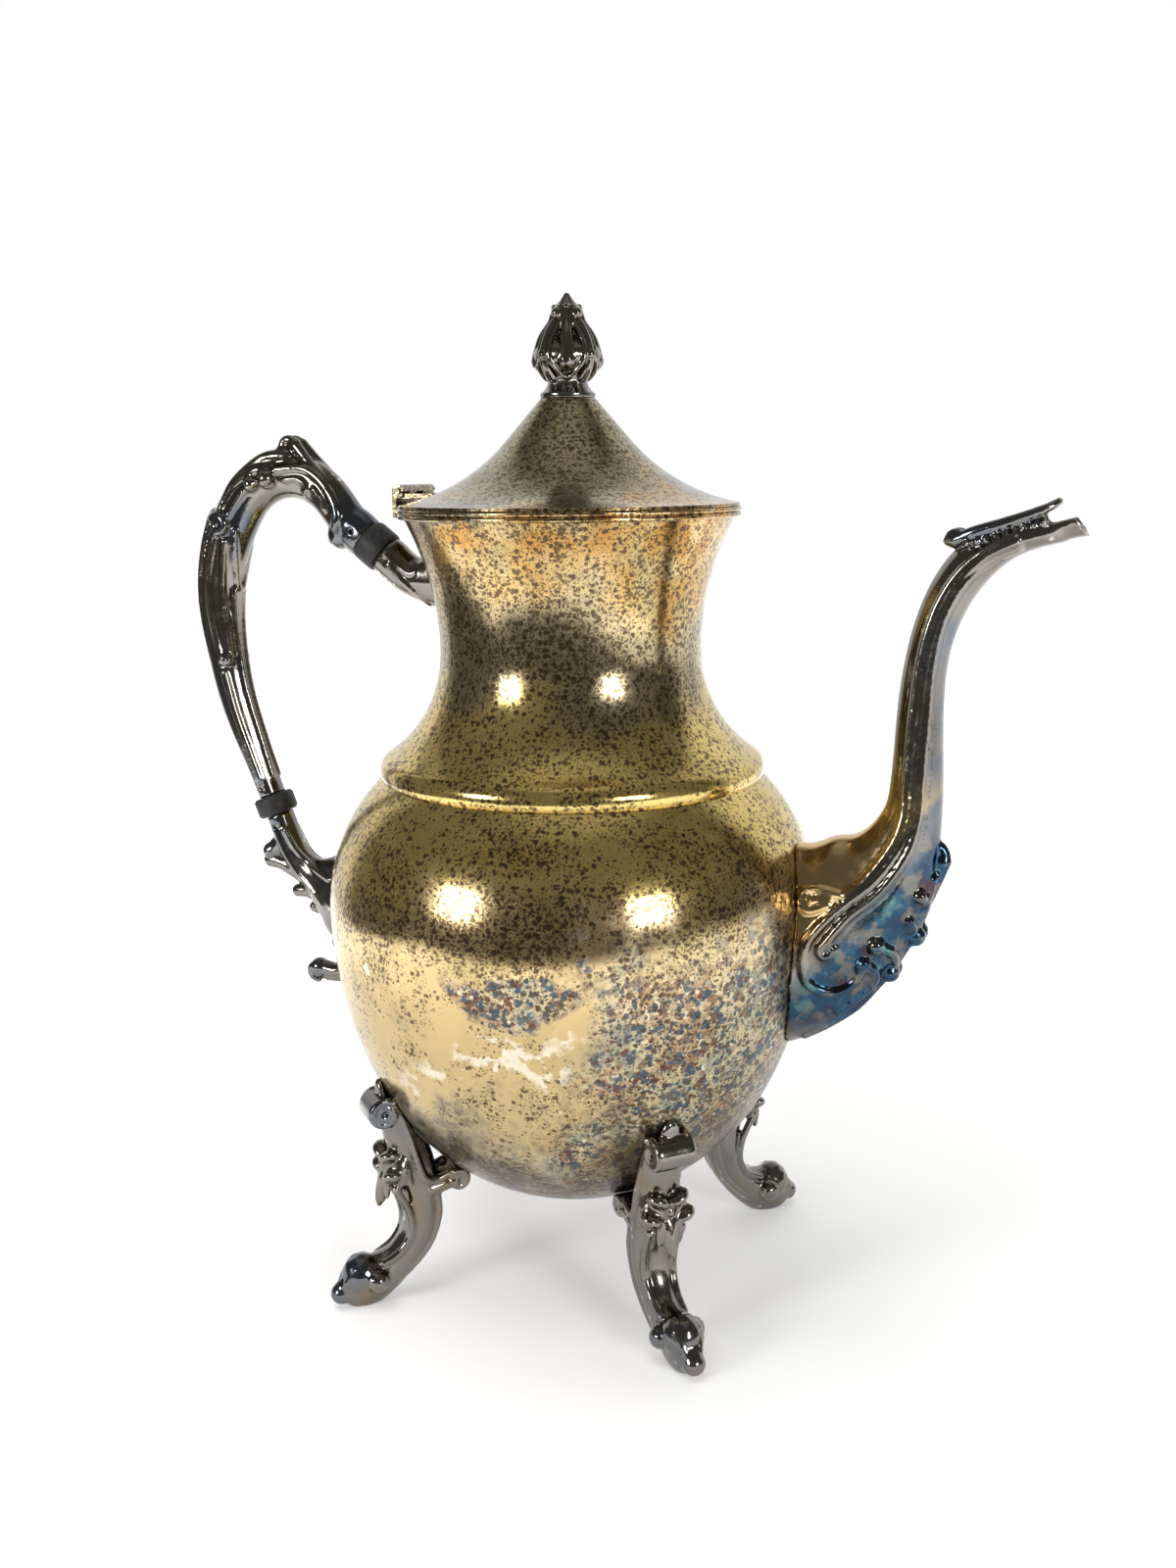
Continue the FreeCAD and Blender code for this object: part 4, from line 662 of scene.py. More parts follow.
@dataclass
class Neck:
    """The spun neck and its beaded rim, in millimetres."""

    wall: float = 1.0
    seat: float = 154.0
    seat_gap: float = 0.15
    bulge_radius: float = 56.3
    bulge_arc: float = 5.0
    bulge: float = 156.6
    waist_radius: float = 37.9
    waist: float = 191.0
    mouth_radius: float = 47.1
    top: float = 228.4
    rim_radius: float = 48.9
    rim_height: float = 3.0
    rim_width: float = 3.1
    rim_gap: float = 0.02
    bead: float = 0.78
    bead_inset: float = 0.546

    def build(self, finish: bpy.types.Material) -> None:
        """Spin the neck and the rim band, and put them in place."""
        keep(self.shell().spun("neck_shell"), "neck_shell", "neck", Body.POT, finish)
        keep(self.rim().spun("rim_band_wire"), "rim_band_wire", "rim_band", Body.POT, finish)

    def shell(self) -> Outline:
        """Draw the neck's wall.

        Returns:
            The closed section.
        """
        centre = self.bulge_radius - self.bulge_arc
        inwards = centre - self.waist_radius
        upwards = self.waist - self.bulge
        flank = (inwards ** 2 + upwards ** 2 - self.bulge_arc ** 2) / (2 * (inwards + self.bulge_arc))
        out = (self.waist_radius + flank - centre) / (flank + self.bulge_arc)
        rise = upwards / (flank + self.bulge_arc)
        step = self.top - self.waist
        spread = self.mouth_radius - self.waist_radius
        throat = (spread ** 2 + step ** 2) / (2 * spread)
        lines = []
        for inset in (0.0, self.wall):
            arc = self.bulge_arc - inset
            low = self.seat + self.seat_gap
            start = centre + math.sqrt(arc ** 2 - (self.bulge - low) ** 2)
            line = Outline(start, low)
            line.arc(centre + out * arc, self.bulge + rise * arc, arc, 1, 16)
            line.arc(self.waist_radius - inset, self.waist, flank + inset, -1, 26)
            line.arc(self.mouth_radius - inset, self.top, throat + inset, -1, 26)
            lines.append(line)
        shell = lines[0]
        shell.points += lines[1].points[::-1] + [shell.points[0]]
        return shell

    def rim(self) -> Outline:
        """Draw the rim band with its two beads.

        Returns:
            The closed section.
        """
        inner = self.rim_radius - self.rim_width
        face = self.rim_radius - self.bead_inset
        low, high = self.top + self.rim_gap, self.top + self.rim_height - self.rim_gap
        line = Outline(inner, low).line(face, low)
        line.arc(face, self.top + self.rim_height / 2, self.bead, 1, 10).arc(face, high, self.bead, 1, 10)
        return line.line(inner, high).line(inner, low)


@dataclass
class Lid:
    """The spun lid and the ring below it, in millimetres."""

    wall: float = 1.0
    seat: float = 231.4
    radius: float = 48.6
    edge: float = 0.8
    flare_radius: float = 17.5
    flare: float = 250.0
    flare_arc: float = 54.0
    top: float = 261.2
    top_radius: float = 7.82
    ring_radius: float = 43.2
    ring_wall: float = 1.2
    ring_depth: float = 6.0
    ring_chamfer: Flat = (0.3, 0.4)
    seat_gap: float = 0.03
    brim: float = 0.95
    flare_inset: Flat = (0.62, 0.78)
    top_inset: float = 0.40
    bore: float = 1.6

    def build(self, finish: bpy.types.Material) -> None:
        """Spin the lid and its ring, and put them in place."""
        inner = self.ring_radius - self.ring_wall
        under = self.top - self.wall
        shell = Outline(self.bore, self.top).line(self.top_radius, self.top).line(self.flare_radius, self.flare)
        shell.arc(self.radius, self.seat + self.edge, self.flare_arc, 1, 34)
        shell.line(self.radius, self.seat + self.seat_gap).line(inner, self.seat + self.seat_gap)
        shell.line(inner, self.seat + self.brim)
        shell.arc(self.flare_radius - self.flare_inset[0], self.flare - self.flare_inset[1],
                  self.flare_arc + self.wall, -1, 34)
        shell.line(self.top_radius - self.top_inset, under).line(self.bore, under).line(self.bore, self.top)
        keep(shell.spun("lid_shell"), "lid_shell", "lid", Body.LID, finish)
        low = self.seat - self.ring_depth
        ring = Outline(inner, low).line(self.ring_radius - self.ring_chamfer[0], low)
        ring.line(self.ring_radius, low + self.ring_chamfer[1]).line(self.ring_radius, self.seat)
        ring.line(inner, self.seat).line(inner, low)
        keep(ring.spun("lid_ring"), "lid_ring", "lid_bezel", Body.LID, finish)


def smooth_line(points: Sequence[Flat], steps: int = 24) -> list[Flat]:
    """Run a smooth curve through flat points.

    Args:
        points: Points to pass.
        steps: Pieces between two points.

    Returns:
        Close points along the curve.
    """
    row = [points[0], *points, points[-1]]
    line = []
    for index in range(1, len(row) - 2):
        before, first, last, after = (Vector(row[index + offset]) for offset in (-1, 0, 1, 2))
        for step in range(steps):
            share = step / steps
            bend = (first * 2 + (last - before) * share + (before * 2 - first * 5 + last * 4 - after) * share ** 2
                    + (first * 3 - before - last * 3 + after) * share ** 3) / 2
            line.append((bend.x, bend.y))
    return line + [points[-1]]


def spiral(x: float, z: float, start: float, radius: float, turns: float, eye: float = 0.9) -> list[Flat]:
    """Wind a flat spiral inwards to its eye.

    Args:
        x: Eye, along the pot.
        z: Eye, upwards.
        start: Bearing of the outer end, degrees.
        radius: Outer radius.
        turns: Turns to the eye; negative winds the other way.
        eye: Radius at the inner end.

    Returns:
        Points from the outer end to the eye.
    """
    count = int(abs(turns) * 26)
    line = []
    for index in range(count + 1):
        share = index / count
        angle = math.radians(start) + math.tau * turns * share
        reach = radius + (eye - radius) * share ** 0.8
        line.append((x + reach * math.cos(angle), z + reach * math.sin(angle)))
    return line


@dataclass(frozen=True)
class Ridge:
    """A round ridge through points x and z, for both side faces of a casting, in millimetres."""

    line: tuple[Flat, ...]
    thick: float
    thin: float
    sink: float = 0.1


@dataclass(frozen=True)
class Edge:
    """A round ridge through points x, y and z, in millimetres."""

    line: tuple[Place, ...]
    thick: float
    thin: float


class Casting:
    """A cast piece: the node's own solid with raised ornament melted onto it."""

    BATCH_VERTS = 3000
    SPACING = 0.35
    ASIDE = 60.0
    NEARBY = 3.0

    def __init__(self, node: str, body: Body, voxel: float, bearing: float = 0.0,
                 base: bpy.types.Mesh | None = None) -> None:
        """Copy the node's solid.

        Args:
            node: Node that the casting stands for.
            body: Body that it rides on.
            voxel: Fineness of the melted surface, millimetres.
            bearing: Turn of the ornament about the pot's axis, degrees.
            base: Plain shape to dress in place of the node's own.
        """
        self.node = node
        self.body = body
        self.voxel = voxel
        self.turn = Matrix.Translation(spot(0, 0, 0)) @ Matrix.Rotation(math.radians(bearing), 4, "Z")
        self.work = bmesh.new()
        self.work.from_mesh(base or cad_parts[node].data)
        bmesh.ops.remove_doubles(self.work, verts=self.work.verts, dist=MERGE_DISTANCE)
        self.tree = BVHTree.FromBMesh(self.work)
        self.loose = bmesh.new()
        self.batches: list[bpy.types.Mesh] = []

    def add(self, subdivisions: int, radius: float, matrix: Matrix) -> None:
        """Add a ball to the ornament, which is kept in small batches.

        Args:
            subdivisions: Fineness of the ball.
            radius: Radius, metres.
            matrix: Place, turn and stretch of the ball.
        """
        bmesh.ops.create_icosphere(self.loose, subdivisions=subdivisions, radius=radius, matrix=matrix)
        if len(self.loose.verts) > self.BATCH_VERTS:
            self.flush()

    def flush(self) -> None:
        """Close the present batch of ornament."""
        batch = bpy.data.meshes.new(f"{self.node}_ornament")
        self.loose.to_mesh(batch)
        self.loose.clear()
        self.batches.append(batch)

    def at(self, x: float, y: float, z: float) -> Vector:
        """Turn millimetres of the casting's own plane into the frame's metres."""
        return self.turn @ Vector((x * MM, y * MM, z * MM))

    def face(self, x: float, z: float, side: Side, sink: float = 0.0) -> Vector:
        """Find the casting's side face at a point of its own plane.

        Args:
            x: Along the pot.
            z: Upwards.
            side: Which side to look from.
            sink: How deep below the face, millimetres.

        Returns:
            The point on the face, or the nearest one.
        """
        origin = self.at(x, self.ASIDE * side.value, z)
        way = (self.at(x, 0.0, z) - origin).normalized()
        hit, _, _, _ = self.tree.ray_cast(origin, way)
        if hit is None:
            hit, _, _, _ = self.tree.find_nearest(self.at(x, self.NEARBY * side.value, z))
        return hit + way * sink * MM

    def ball(self, centre: Vector, radius: float) -> None:
        """Add a ball of so many millimetres' radius at a place in the frame."""
        self.add(2, radius * MM, Matrix.Translation(centre))

    def rope(self, spots: Sequence[Vector], thick: float, thin: float) -> None:
        """Lay a round ridge along a row of close points.

        Args:
            spots: Points in the frame.
            thick: Radius at the first point, millimetres.
            thin: Radius at the last point, millimetres.
        """
        last = None
        for index, place in enumerate(spots):
            radius = thick + (thin - thick) * index / max(len(spots) - 1, 1)
            if last is not None and (place - last).length < radius * MM * self.SPACING:
                continue
            self.ball(place, radius)
            last = place

    def side_ridges(self, ridges: Sequence[Ridge]) -> None:
        """Lay ridges on both side faces."""
        for ridge in ridges:
            line = smooth_line(ridge.line)
            for side in Side:
                self.rope([self.face(x, z, side, ridge.sink) for x, z in line], ridge.thick, ridge.thin)

    def edge_ridges(self, edges: Sequence[Edge], sides: Sequence[Side] = tuple(Side)) -> None:
        """Lay ridges through points that have their own place across.

        Args:
            edges: Ridges, drawn on the left side.
            sides: Sides that get them.
        """
        for edge in edges:
            flat = smooth_line([(x, z) for x, _, z in edge.line])
            share = (len(edge.line) - 1) / (len(flat) - 1)
            for side in sides:
                places = []
                for index, (x, z) in enumerate(flat):
                    low = min(int(index * share), len(edge.line) - 2)
                    blend = index * share - low
                    y = edge.line[low][1] * (1 - blend) + edge.line[low + 1][1] * blend
                    places.append(self.at(x, y * side.value, z))
                self.rope(places, edge.thick, edge.thin)

    def leaf(self, start: Place, end: Place, wide: float, thick: float) -> None:
        """Add a leaf-shaped lobe between two points.

        Args:
            start: Root as x, y and z in millimetres.
            end: Tip.
            wide: Half width across.
            thick: Half thickness.
        """
        first, last = self.at(*start), self.at(*end)
        way = last - first
        turn = way.to_track_quat("X", "Z").to_matrix().to_4x4()
        shape = Matrix.Diagonal((way.length / 2, wide * MM, thick * MM, 1.0))
        matrix = Matrix.Translation((first + last) / 2) @ turn @ shape
        self.add(3, 1.0, matrix)

    def melted(self, rounds: int = 5) -> bpy.types.Mesh:
        """Melt everything together and smooth it.

        Args:
            rounds: Smoothing rounds.

        Returns:
            The finished mesh.
        """
        self.flush()
        for batch in self.batches:
            self.work.from_mesh(batch)

        def melt(helper: bpy.types.Object) -> None:
            """Add the melting and the smoothing."""
            remesh = helper.modifiers.new("melt", "REMESH")
            remesh.mode = "VOXEL"
            remesh.voxel_size = self.voxel * MM
            soften = helper.modifiers.new("soften", "SMOOTH")
            soften.factor = 0.5
            soften.iterations = rounds

        result = bake(as_mesh(self.work, f"{self.node}_melt"), melt)
        result.name = f"{self.node}_cast"
        result.shade_smooth()
        return result

    def build(self, finish: bpy.types.Material, rounds: int = 5) -> None:
        """Melt the casting and put it in place.

        Args:
            finish: Casting material.
            rounds: Smoothing rounds.
        """
        keep(self.melted(rounds), f"{self.node}_cast", self.node, self.body, finish)


@dataclass
class Feet:
    """The four scroll feet with their flowers, drawn in one foot's upright plane, in millimetres."""

    nodes: tuple[str, ...] = ("foot_front_left", "foot_rear_left", "foot_rear_right", "foot_front_right")
    bearing: float = 45.0
    voxel: float = 0.42
    flower: Flat = (61.4, 41.0)
    scroll: Flat = (62.7, 59.6)
    inner_scroll: Flat = (40.4, 34.8)
    toe: Place = (70.2, 0.0, 10.0)
    toe_tip: Place = (75.4, 0.0, 5.6)
    knee_edges: tuple[Edge, ...] = (
        Edge(((60.8, 4.2, 63.0), (56.6, 5.2, 54.0), (54.4, 5.8, 46.0), (51.6, 5.6, 38.0), (47.4, 4.6, 36.4),
              (42.6, 4.4, 38.2)), 1.5, 1.1),
        Edge(((61.0, 2.2, 55.0), (57.6, 3.0, 50.0), (57.0, 5.4, 44.0), (56.2, 6.0, 37.0)), 1.2, 0.9))
    leg_edges: tuple[Edge, ...] = (
        Edge(((60.4, 5.0, 36.0), (56.6, 4.6, 28.0), (56.0, 4.4, 21.0), (59.2, 4.0, 15.6), (64.6, 3.6, 12.6)),
             1.25, 1.1),
        Edge(((48.2, 4.4, 36.0), (47.2, 4.8, 26.0), (50.4, 4.6, 16.4), (57.0, 4.0, 9.0), (62.0, 3.6, 6.0)), 1.2, 1.0),
        Edge(((72.4, 3.4, 12.2), (75.4, 2.4, 8.2), (76.6, 1.4, 5.4)), 1.2, 1.0))

    def build(self, finish: bpy.types.Material) -> None:
        """Dress one foot and set it four times round the pot."""
        cast = Casting(self.nodes[0], Body.POT, self.voxel, self.bearing)
        for line, thick, thin in ((spiral(*self.scroll, 120, 4.6, -1.8), 1.2, 0.9),
                                  (spiral(*self.inner_scroll, 40, 3.3, 1.5), 0.9, 0.7)):
            for side in Side:
                cast.rope([cast.face(x, z, side) for x, z in line], thick, thin)
        self._flower(cast)
        cast.leaf((61.4, 0.0, 57.0), (63.0, 0.0, 69.2), 3.2, 1.6)
        cast.edge_ridges(self.knee_edges + self.leg_edges)
        for side in Side:
            cast.ball(cast.at(66.8, 5.0 * side.value, 8.2), 3.5)
        cast.ball(cast.at(*self.toe), 5.6)
        cast.ball(cast.at(*self.toe_tip), 3.2)
        mesh = cast.melted()
        middle = Matrix.Translation(spot(0, 0, 0))
        for index, node in enumerate(self.nodes):
            turn = Matrix.Rotation(math.tau * index / len(self.nodes), 4, "Z")
            copy = mesh.copy()
            copy.transform(middle @ turn @ middle.inverted())
            keep(copy, f"{node}_cast", node, Body.POT, finish)

    def _flower(self, cast: Casting) -> None:
        """Add the round upper petals, the hanging trumpet and the eye."""
        x, z = self.flower
        for side in Side:
            y = side.value
            for across, up, size in ((3.0, 4.4, 3.5), (5.2, -1.0, 3.2)):
                cast.leaf((x - 0.4, across * y - size * y, z + up - size * 0.4),
                          (x + 0.2, across * y + size * y * 0.9, z + up + size * 0.5), size * 0.95, 1.9)
            for across in (1.0, 3.0):
                cast.leaf((x + 0.6, across * y * 0.6, z + 0.4), (x + 2.6 - across * 0.5, across * y, z - 11.6 + across),
                          1.25, 1.7)
        cast.leaf((x + 0.6, 0.0, z), (x + 2.8, 0.0, z - 12.0), 1.3, 1.9)
        cast.ball(cast.at(x + 1.2, 0.0, z + 1.4), 1.5)


@dataclass
class Handle:
    """The ear handle with its leaf, scrolls and berries, in millimetres."""

    voxel: float = 0.48
    grip: tuple[Ridge, ...] = (
        Ridge(((-115.8, 222.0), (-118.6, 211.0), (-119.0, 202.0), (-117.8, 192.0), (-116.0, 184.0)), 1.3, 1.0),
        Ridge(((-112.4, 221.0), (-114.4, 206.0), (-113.6, 194.0), (-113.0, 186.0)), 1.1, 0.9),
        Ridge(((-108.6, 224.0), (-110.9, 206.0), (-110.2, 191.0), (-106.8, 175.0), (-102.6, 160.0), (-99.6, 148.0)),
              1.2, 0.9),
        Ridge(((-115.4, 180.0), (-112.4, 168.0), (-108.4, 156.0), (-104.8, 146.0)), 1.3, 1.0))
    crown: tuple[Ridge, ...] = (
        Ridge(((-92.6, 242.4), (-84.0, 242.6), (-78.4, 239.4), (-74.4, 234.4), (-72.4, 229.4), (-73.4, 225.0)),
              1.4, 1.7, 0.2),
        Ridge(((-90.0, 239.4), (-85.4, 239.6), (-82.6, 237.4), (-83.4, 235.4)), 1.0, 0.8),
        Ridge(((-80.0, 236.6), (-77.4, 233.6), (-76.8, 230.2)), 1.0, 0.7),
        Ridge(((-99.4, 239.0), (-104.0, 236.4), (-108.0, 232.0), (-110.8, 228.0)), 1.3, 1.0),
        Ridge(((-104.0, 240.4), (-108.6, 237.4), (-112.6, 232.4), (-114.8, 228.6)), 1.2, 1.1))
    leaf_edges: tuple[Edge, ...] = (
        Edge(((-87.6, 2.0, 250.0), (-84.6, 2.6, 246.6), (-80.4, 3.4, 242.4), (-75.8, 3.6, 238.0)), 1.9, 1.2),
        Edge(((-90.4, 2.4, 246.4), (-97.0, 3.4, 246.0), (-103.4, 3.8, 242.6), (-109.4, 3.8, 237.6),
              (-114.0, 3.6, 230.6)), 2.3, 1.5))
    back_edge: Edge = Edge(((-117.6, 3.4, 228.0), (-121.0, 3.2, 219.0), (-123.2, 3.0, 208.0), (-123.2, 2.8, 197.0),
                            (-121.2, 2.6, 184.0)), 1.7, 1.0)

    def build(self, finish: bpy.types.Material) -> None:
        """Dress the handle."""
        cast = Casting("handle", Body.POT, self.voxel)
        cast.side_ridges(self.grip + self.crown)
        cast.edge_ridges((*self.leaf_edges, self.back_edge))
        for side in Side:
            self._curls(cast, side)
        cast.ball(cast.at(-74.0, 0.0, 223.0), 4.6)
        cast.ball(cast.at(-117.4, 0.0, 228.2), 3.4)
        cast.build(finish)

    def _curls(self, cast: Casting, side: Side) -> None:
        """Add one side's leaf with its curl, the berries, the outer scroll and the ball on the grip.

        Args:
            cast: The handle.
            side: Side to dress.
        """
        y = side.value
        curl = spiral(-90.4, 249.2, 320, 3.0, 1.2, 0.8)
        cast.rope([cast.at(px, 1.8 * y, pz) for px, pz in curl], 1.6, 1.2)
        cast.leaf((-92.0, 3.0 * y, 244.6), (-104.0, 5.2 * y, 241.0), 2.4, 1.8)
        for x, z, radius in ((-101.4, 238.2, 2.3), (-95.8, 239.8, 3.0)):
            cast.ball(cast.face(x, z, side, -0.5), radius)
        scroll = spiral(-113.8, 225.8, 140, 3.4, -1.2, 0.8)
        cast.rope([cast.face(px, pz, side, -0.8) for px, pz in scroll], 1.6, 1.3)
        cast.ball(cast.face(-114.0, 184.0, side), 1.9)


@dataclass
class Sockets:
    """The two cast sockets that carry the handle, in millimetres."""

    voxel: float = 0.4
    upper: tuple[Ridge, ...] = (
        Ridge(((-57.0, 217.6), (-53.0, 214.4), (-49.0, 212.0), (-46.4, 212.6)), 0.9, 0.7),
        Ridge(((-55.6, 214.6), (-51.4, 210.0), (-47.0, 206.0), (-44.0, 202.6)), 1.0, 0.7))
    lower: tuple[Ridge, ...] = (
        Ridge(((-100.4, 130.0), (-97.6, 123.0), (-93.6, 117.0), (-88.0, 112.0), (-82.0, 107.0)), 1.0, 0.8),
        Ridge(((-97.0, 130.0), (-93.0, 123.0), (-87.0, 118.4), (-80.0, 116.0)), 1.0, 0.8))
    spurs: tuple[Edge, ...] = (
        Edge(((-90.0, 0.0, 112.6), (-96.0, 0.0, 116.0), (-101.0, 0.0, 118.4), (-105.4, 0.0, 119.0)), 2.8, 2.7),
        Edge(((-84.0, 0.0, 106.0), (-88.4, 0.0, 108.2), (-92.0, 0.0, 109.6), (-95.6, 0.0, 109.4)), 2.6, 2.3),
        Edge(((-80.0, 0.0, 101.0), (-85.0, 0.0, 103.2), (-90.2, 0.0, 104.6)), 2.4, 1.9))
    tail: Edge = Edge(((-74.6, 0.0, 97.0), (-72.8, 0.0, 90.6), (-74.2, 0.0, 85.0), (-79.6, 0.0, 81.8),
                       (-86.6, 0.0, 81.4)), 1.6, 1.6)

    def build(self, finish: bpy.types.Material) -> None:
        """Dress both sockets."""
        upper = Casting("upper_handle_socket", Body.POT, self.voxel)
        upper.side_ridges(self.upper)
        upper.build(finish)
        lower = Casting("lower_handle_socket", Body.POT, self.voxel)
        lower.side_ridges(self.lower)
        lower.edge_ridges((*self.spurs, self.tail), (Side.LEFT,))
        for side in Side:
            line = spiral(-89.2, 83.6, 280, 3.0, -1.2, 0.8)
            lower.rope([lower.at(px, 1.6 * side.value, pz) for px, pz in line], 1.2, 1.0)
        lower.build(finish)


@dataclass
class Spout:
    """The long spout with its reeds, base scrolls and rolled lip, in millimetres."""

    voxel: float = 0.5
    reed_tops: tuple[Flat, ...] = ((99.6, 174.0), (101.0, 190.0), (104.0, 203.0), (109.0, 213.0), (116.0, 220.0),
                                   (124.0, 224.4))
    reed_feet: tuple[tuple[Flat, ...], ...] = (
        ((84.1, 127.2), (89.0, 131.2), (95.6, 140.9), (98.2, 148.6), (98.8, 159.0)),
        ((73.6, 108.8), (74.8, 114.2), (79.0, 119.8), (83.4, 124.3), (91.4, 131.2), (97.8, 141.0), (100.4, 149.9),
         (100.8, 159.8)),
        ((79.6, 114.0), (82.0, 117.5), (85.8, 122.0), (93.5, 129.0), (100.0, 139.5), (102.4, 149.6), (102.8, 159.5)))
    reed_pitch: float = 1.9
    scrolls: tuple[Ridge, ...] = (
        Ridge(((73.6, 108.8), (74.6, 102.7), (77.9, 99.7), (82.0, 99.1), (86.0, 101.1), (88.4, 104.7), (88.2, 107.6)),
              1.5, 1.3, -0.2),
        Ridge(((79.6, 114.0), (77.9, 111.8), (79.4, 109.9), (81.4, 111.6), (80.4, 113.2)), 1.4, 1.0, -0.2),
        Ridge(((83.4, 127.0), (77.4, 128.2), (73.2, 127.4), (72.2, 124.2), (74.6, 122.4), (80.0, 124.6)),
              1.2, 1.0, -0.1),
        Ridge(((80.6, 126.2), (76.2, 125.6), (74.6, 124.8)), 1.2, 1.6, 0.3),
        Ridge(((106.6, 131.0), (104.4, 119.0), (98.6, 105.4), (90.0, 95.4), (80.0, 88.0), (72.0, 83.0)),
              1.5, 1.3, 0.2))
    lobes: tuple[Ridge, ...] = (
        Ridge(((103.4, 127.0), (105.0, 122.4), (103.0, 115.6), (98.6, 107.4)), 1.7, 1.2, 0.0),
        Ridge(((100.8, 119.8), (101.4, 115.4), (99.0, 109.4), (95.4, 104.0)), 1.7, 1.2, 0.0),
        Ridge(((92.6, 113.3), (96.6, 110.1), (95.6, 103.8), (90.2, 97.4)), 1.7, 1.2, 0.0),
        Ridge(((89.4, 107.8), (92.2, 104.2), (90.0, 99.2), (82.0, 91.8)), 1.7, 1.2, 0.0))
    lobe_eyes: tuple[float, ...] = (2.1, 1.6, 2.6, 2.1)
    scallops: tuple[Flat, ...] = ((102.0, 114.6), (95.2, 103.4), (86.0, 94.6), (76.6, 87.2))
    scallop: float = 3.1
    thumb: Edge = Edge(((104.4, 0.0, 124.0), (106.8, 0.0, 130.0), (108.8, 0.0, 136.2), (107.4, 0.0, 139.6)), 1.8, 2.0)
    lip: tuple[Edge, ...] = (
        Edge(((108.6, 3.2, 222.6), (113.6, 4.6, 224.9), (119.6, 5.2, 226.8), (126.0, 5.2, 229.0), (131.6, 4.2, 231.2),
              (134.0, 2.0, 232.6)), 1.9, 1.1),
        Edge(((132.0, 4.7, 226.4), (136.4, 4.4, 226.6), (140.2, 2.2, 225.8)), 0.9, 0.8))
    lip_back: Edge = Edge(((107.0, -3.0, 222.6), (107.0, 0.0, 223.2), (107.0, 3.0, 222.6)), 1.5, 1.5)
    beads: int = 9

    def build(self, finish: bpy.types.Material) -> None:
        """Dress the spout."""
        cast = Casting("spout", Body.POT, self.voxel)
        for index, foot in enumerate(self.reed_feet):
            shift = index * self.reed_pitch
            top = tuple((x + shift * (1.0 - step * 0.12), z - shift * step * 0.18)
                        for step, (x, z) in enumerate(self.reed_tops))
            cast.side_ridges((Ridge(foot + top, 1.5, 0.9, -0.15),))
        cast.side_ridges(self.scrolls + self.lobes)
        cast.edge_ridges(self.lip)
        cast.edge_ridges((self.thumb, self.lip_back), (Side.LEFT,))
        cast.ball(cast.at(108.4, 0.0, 135.6), 2.5)
        for side in Side:
            self._rounds(cast, side)
        cast.build(finish, 4)

    def _rounds(self, cast: Casting, side: Side) -> None:
        """Add one side's lobe eyes, scallops, lip beads and lip scroll.

        Args:
            cast: The spout.
            side: Side to dress.
        """
        y = side.value
        for lobe, radius in zip(self.lobes, self.lobe_eyes):
            cast.ball(cast.face(*lobe.line[0], side, -0.2), radius)
        for x, z in self.scallops:
            cast.ball(cast.at(x, 2.4 * y, z), self.scallop)
        for index in range(self.beads):
            share = index / (self.beads - 1)
            cast.ball(cast.at(112.0 + 19.0 * share, 6.0 * y, 221.9 + 5.6 * share), 0.85)
        line = spiral(108.6, 222.9, 60, 2.2, 1.2, 0.7)
        cast.rope([cast.at(px, 3.0 * y, pz) for px, pz in line], 1.1, 0.9)


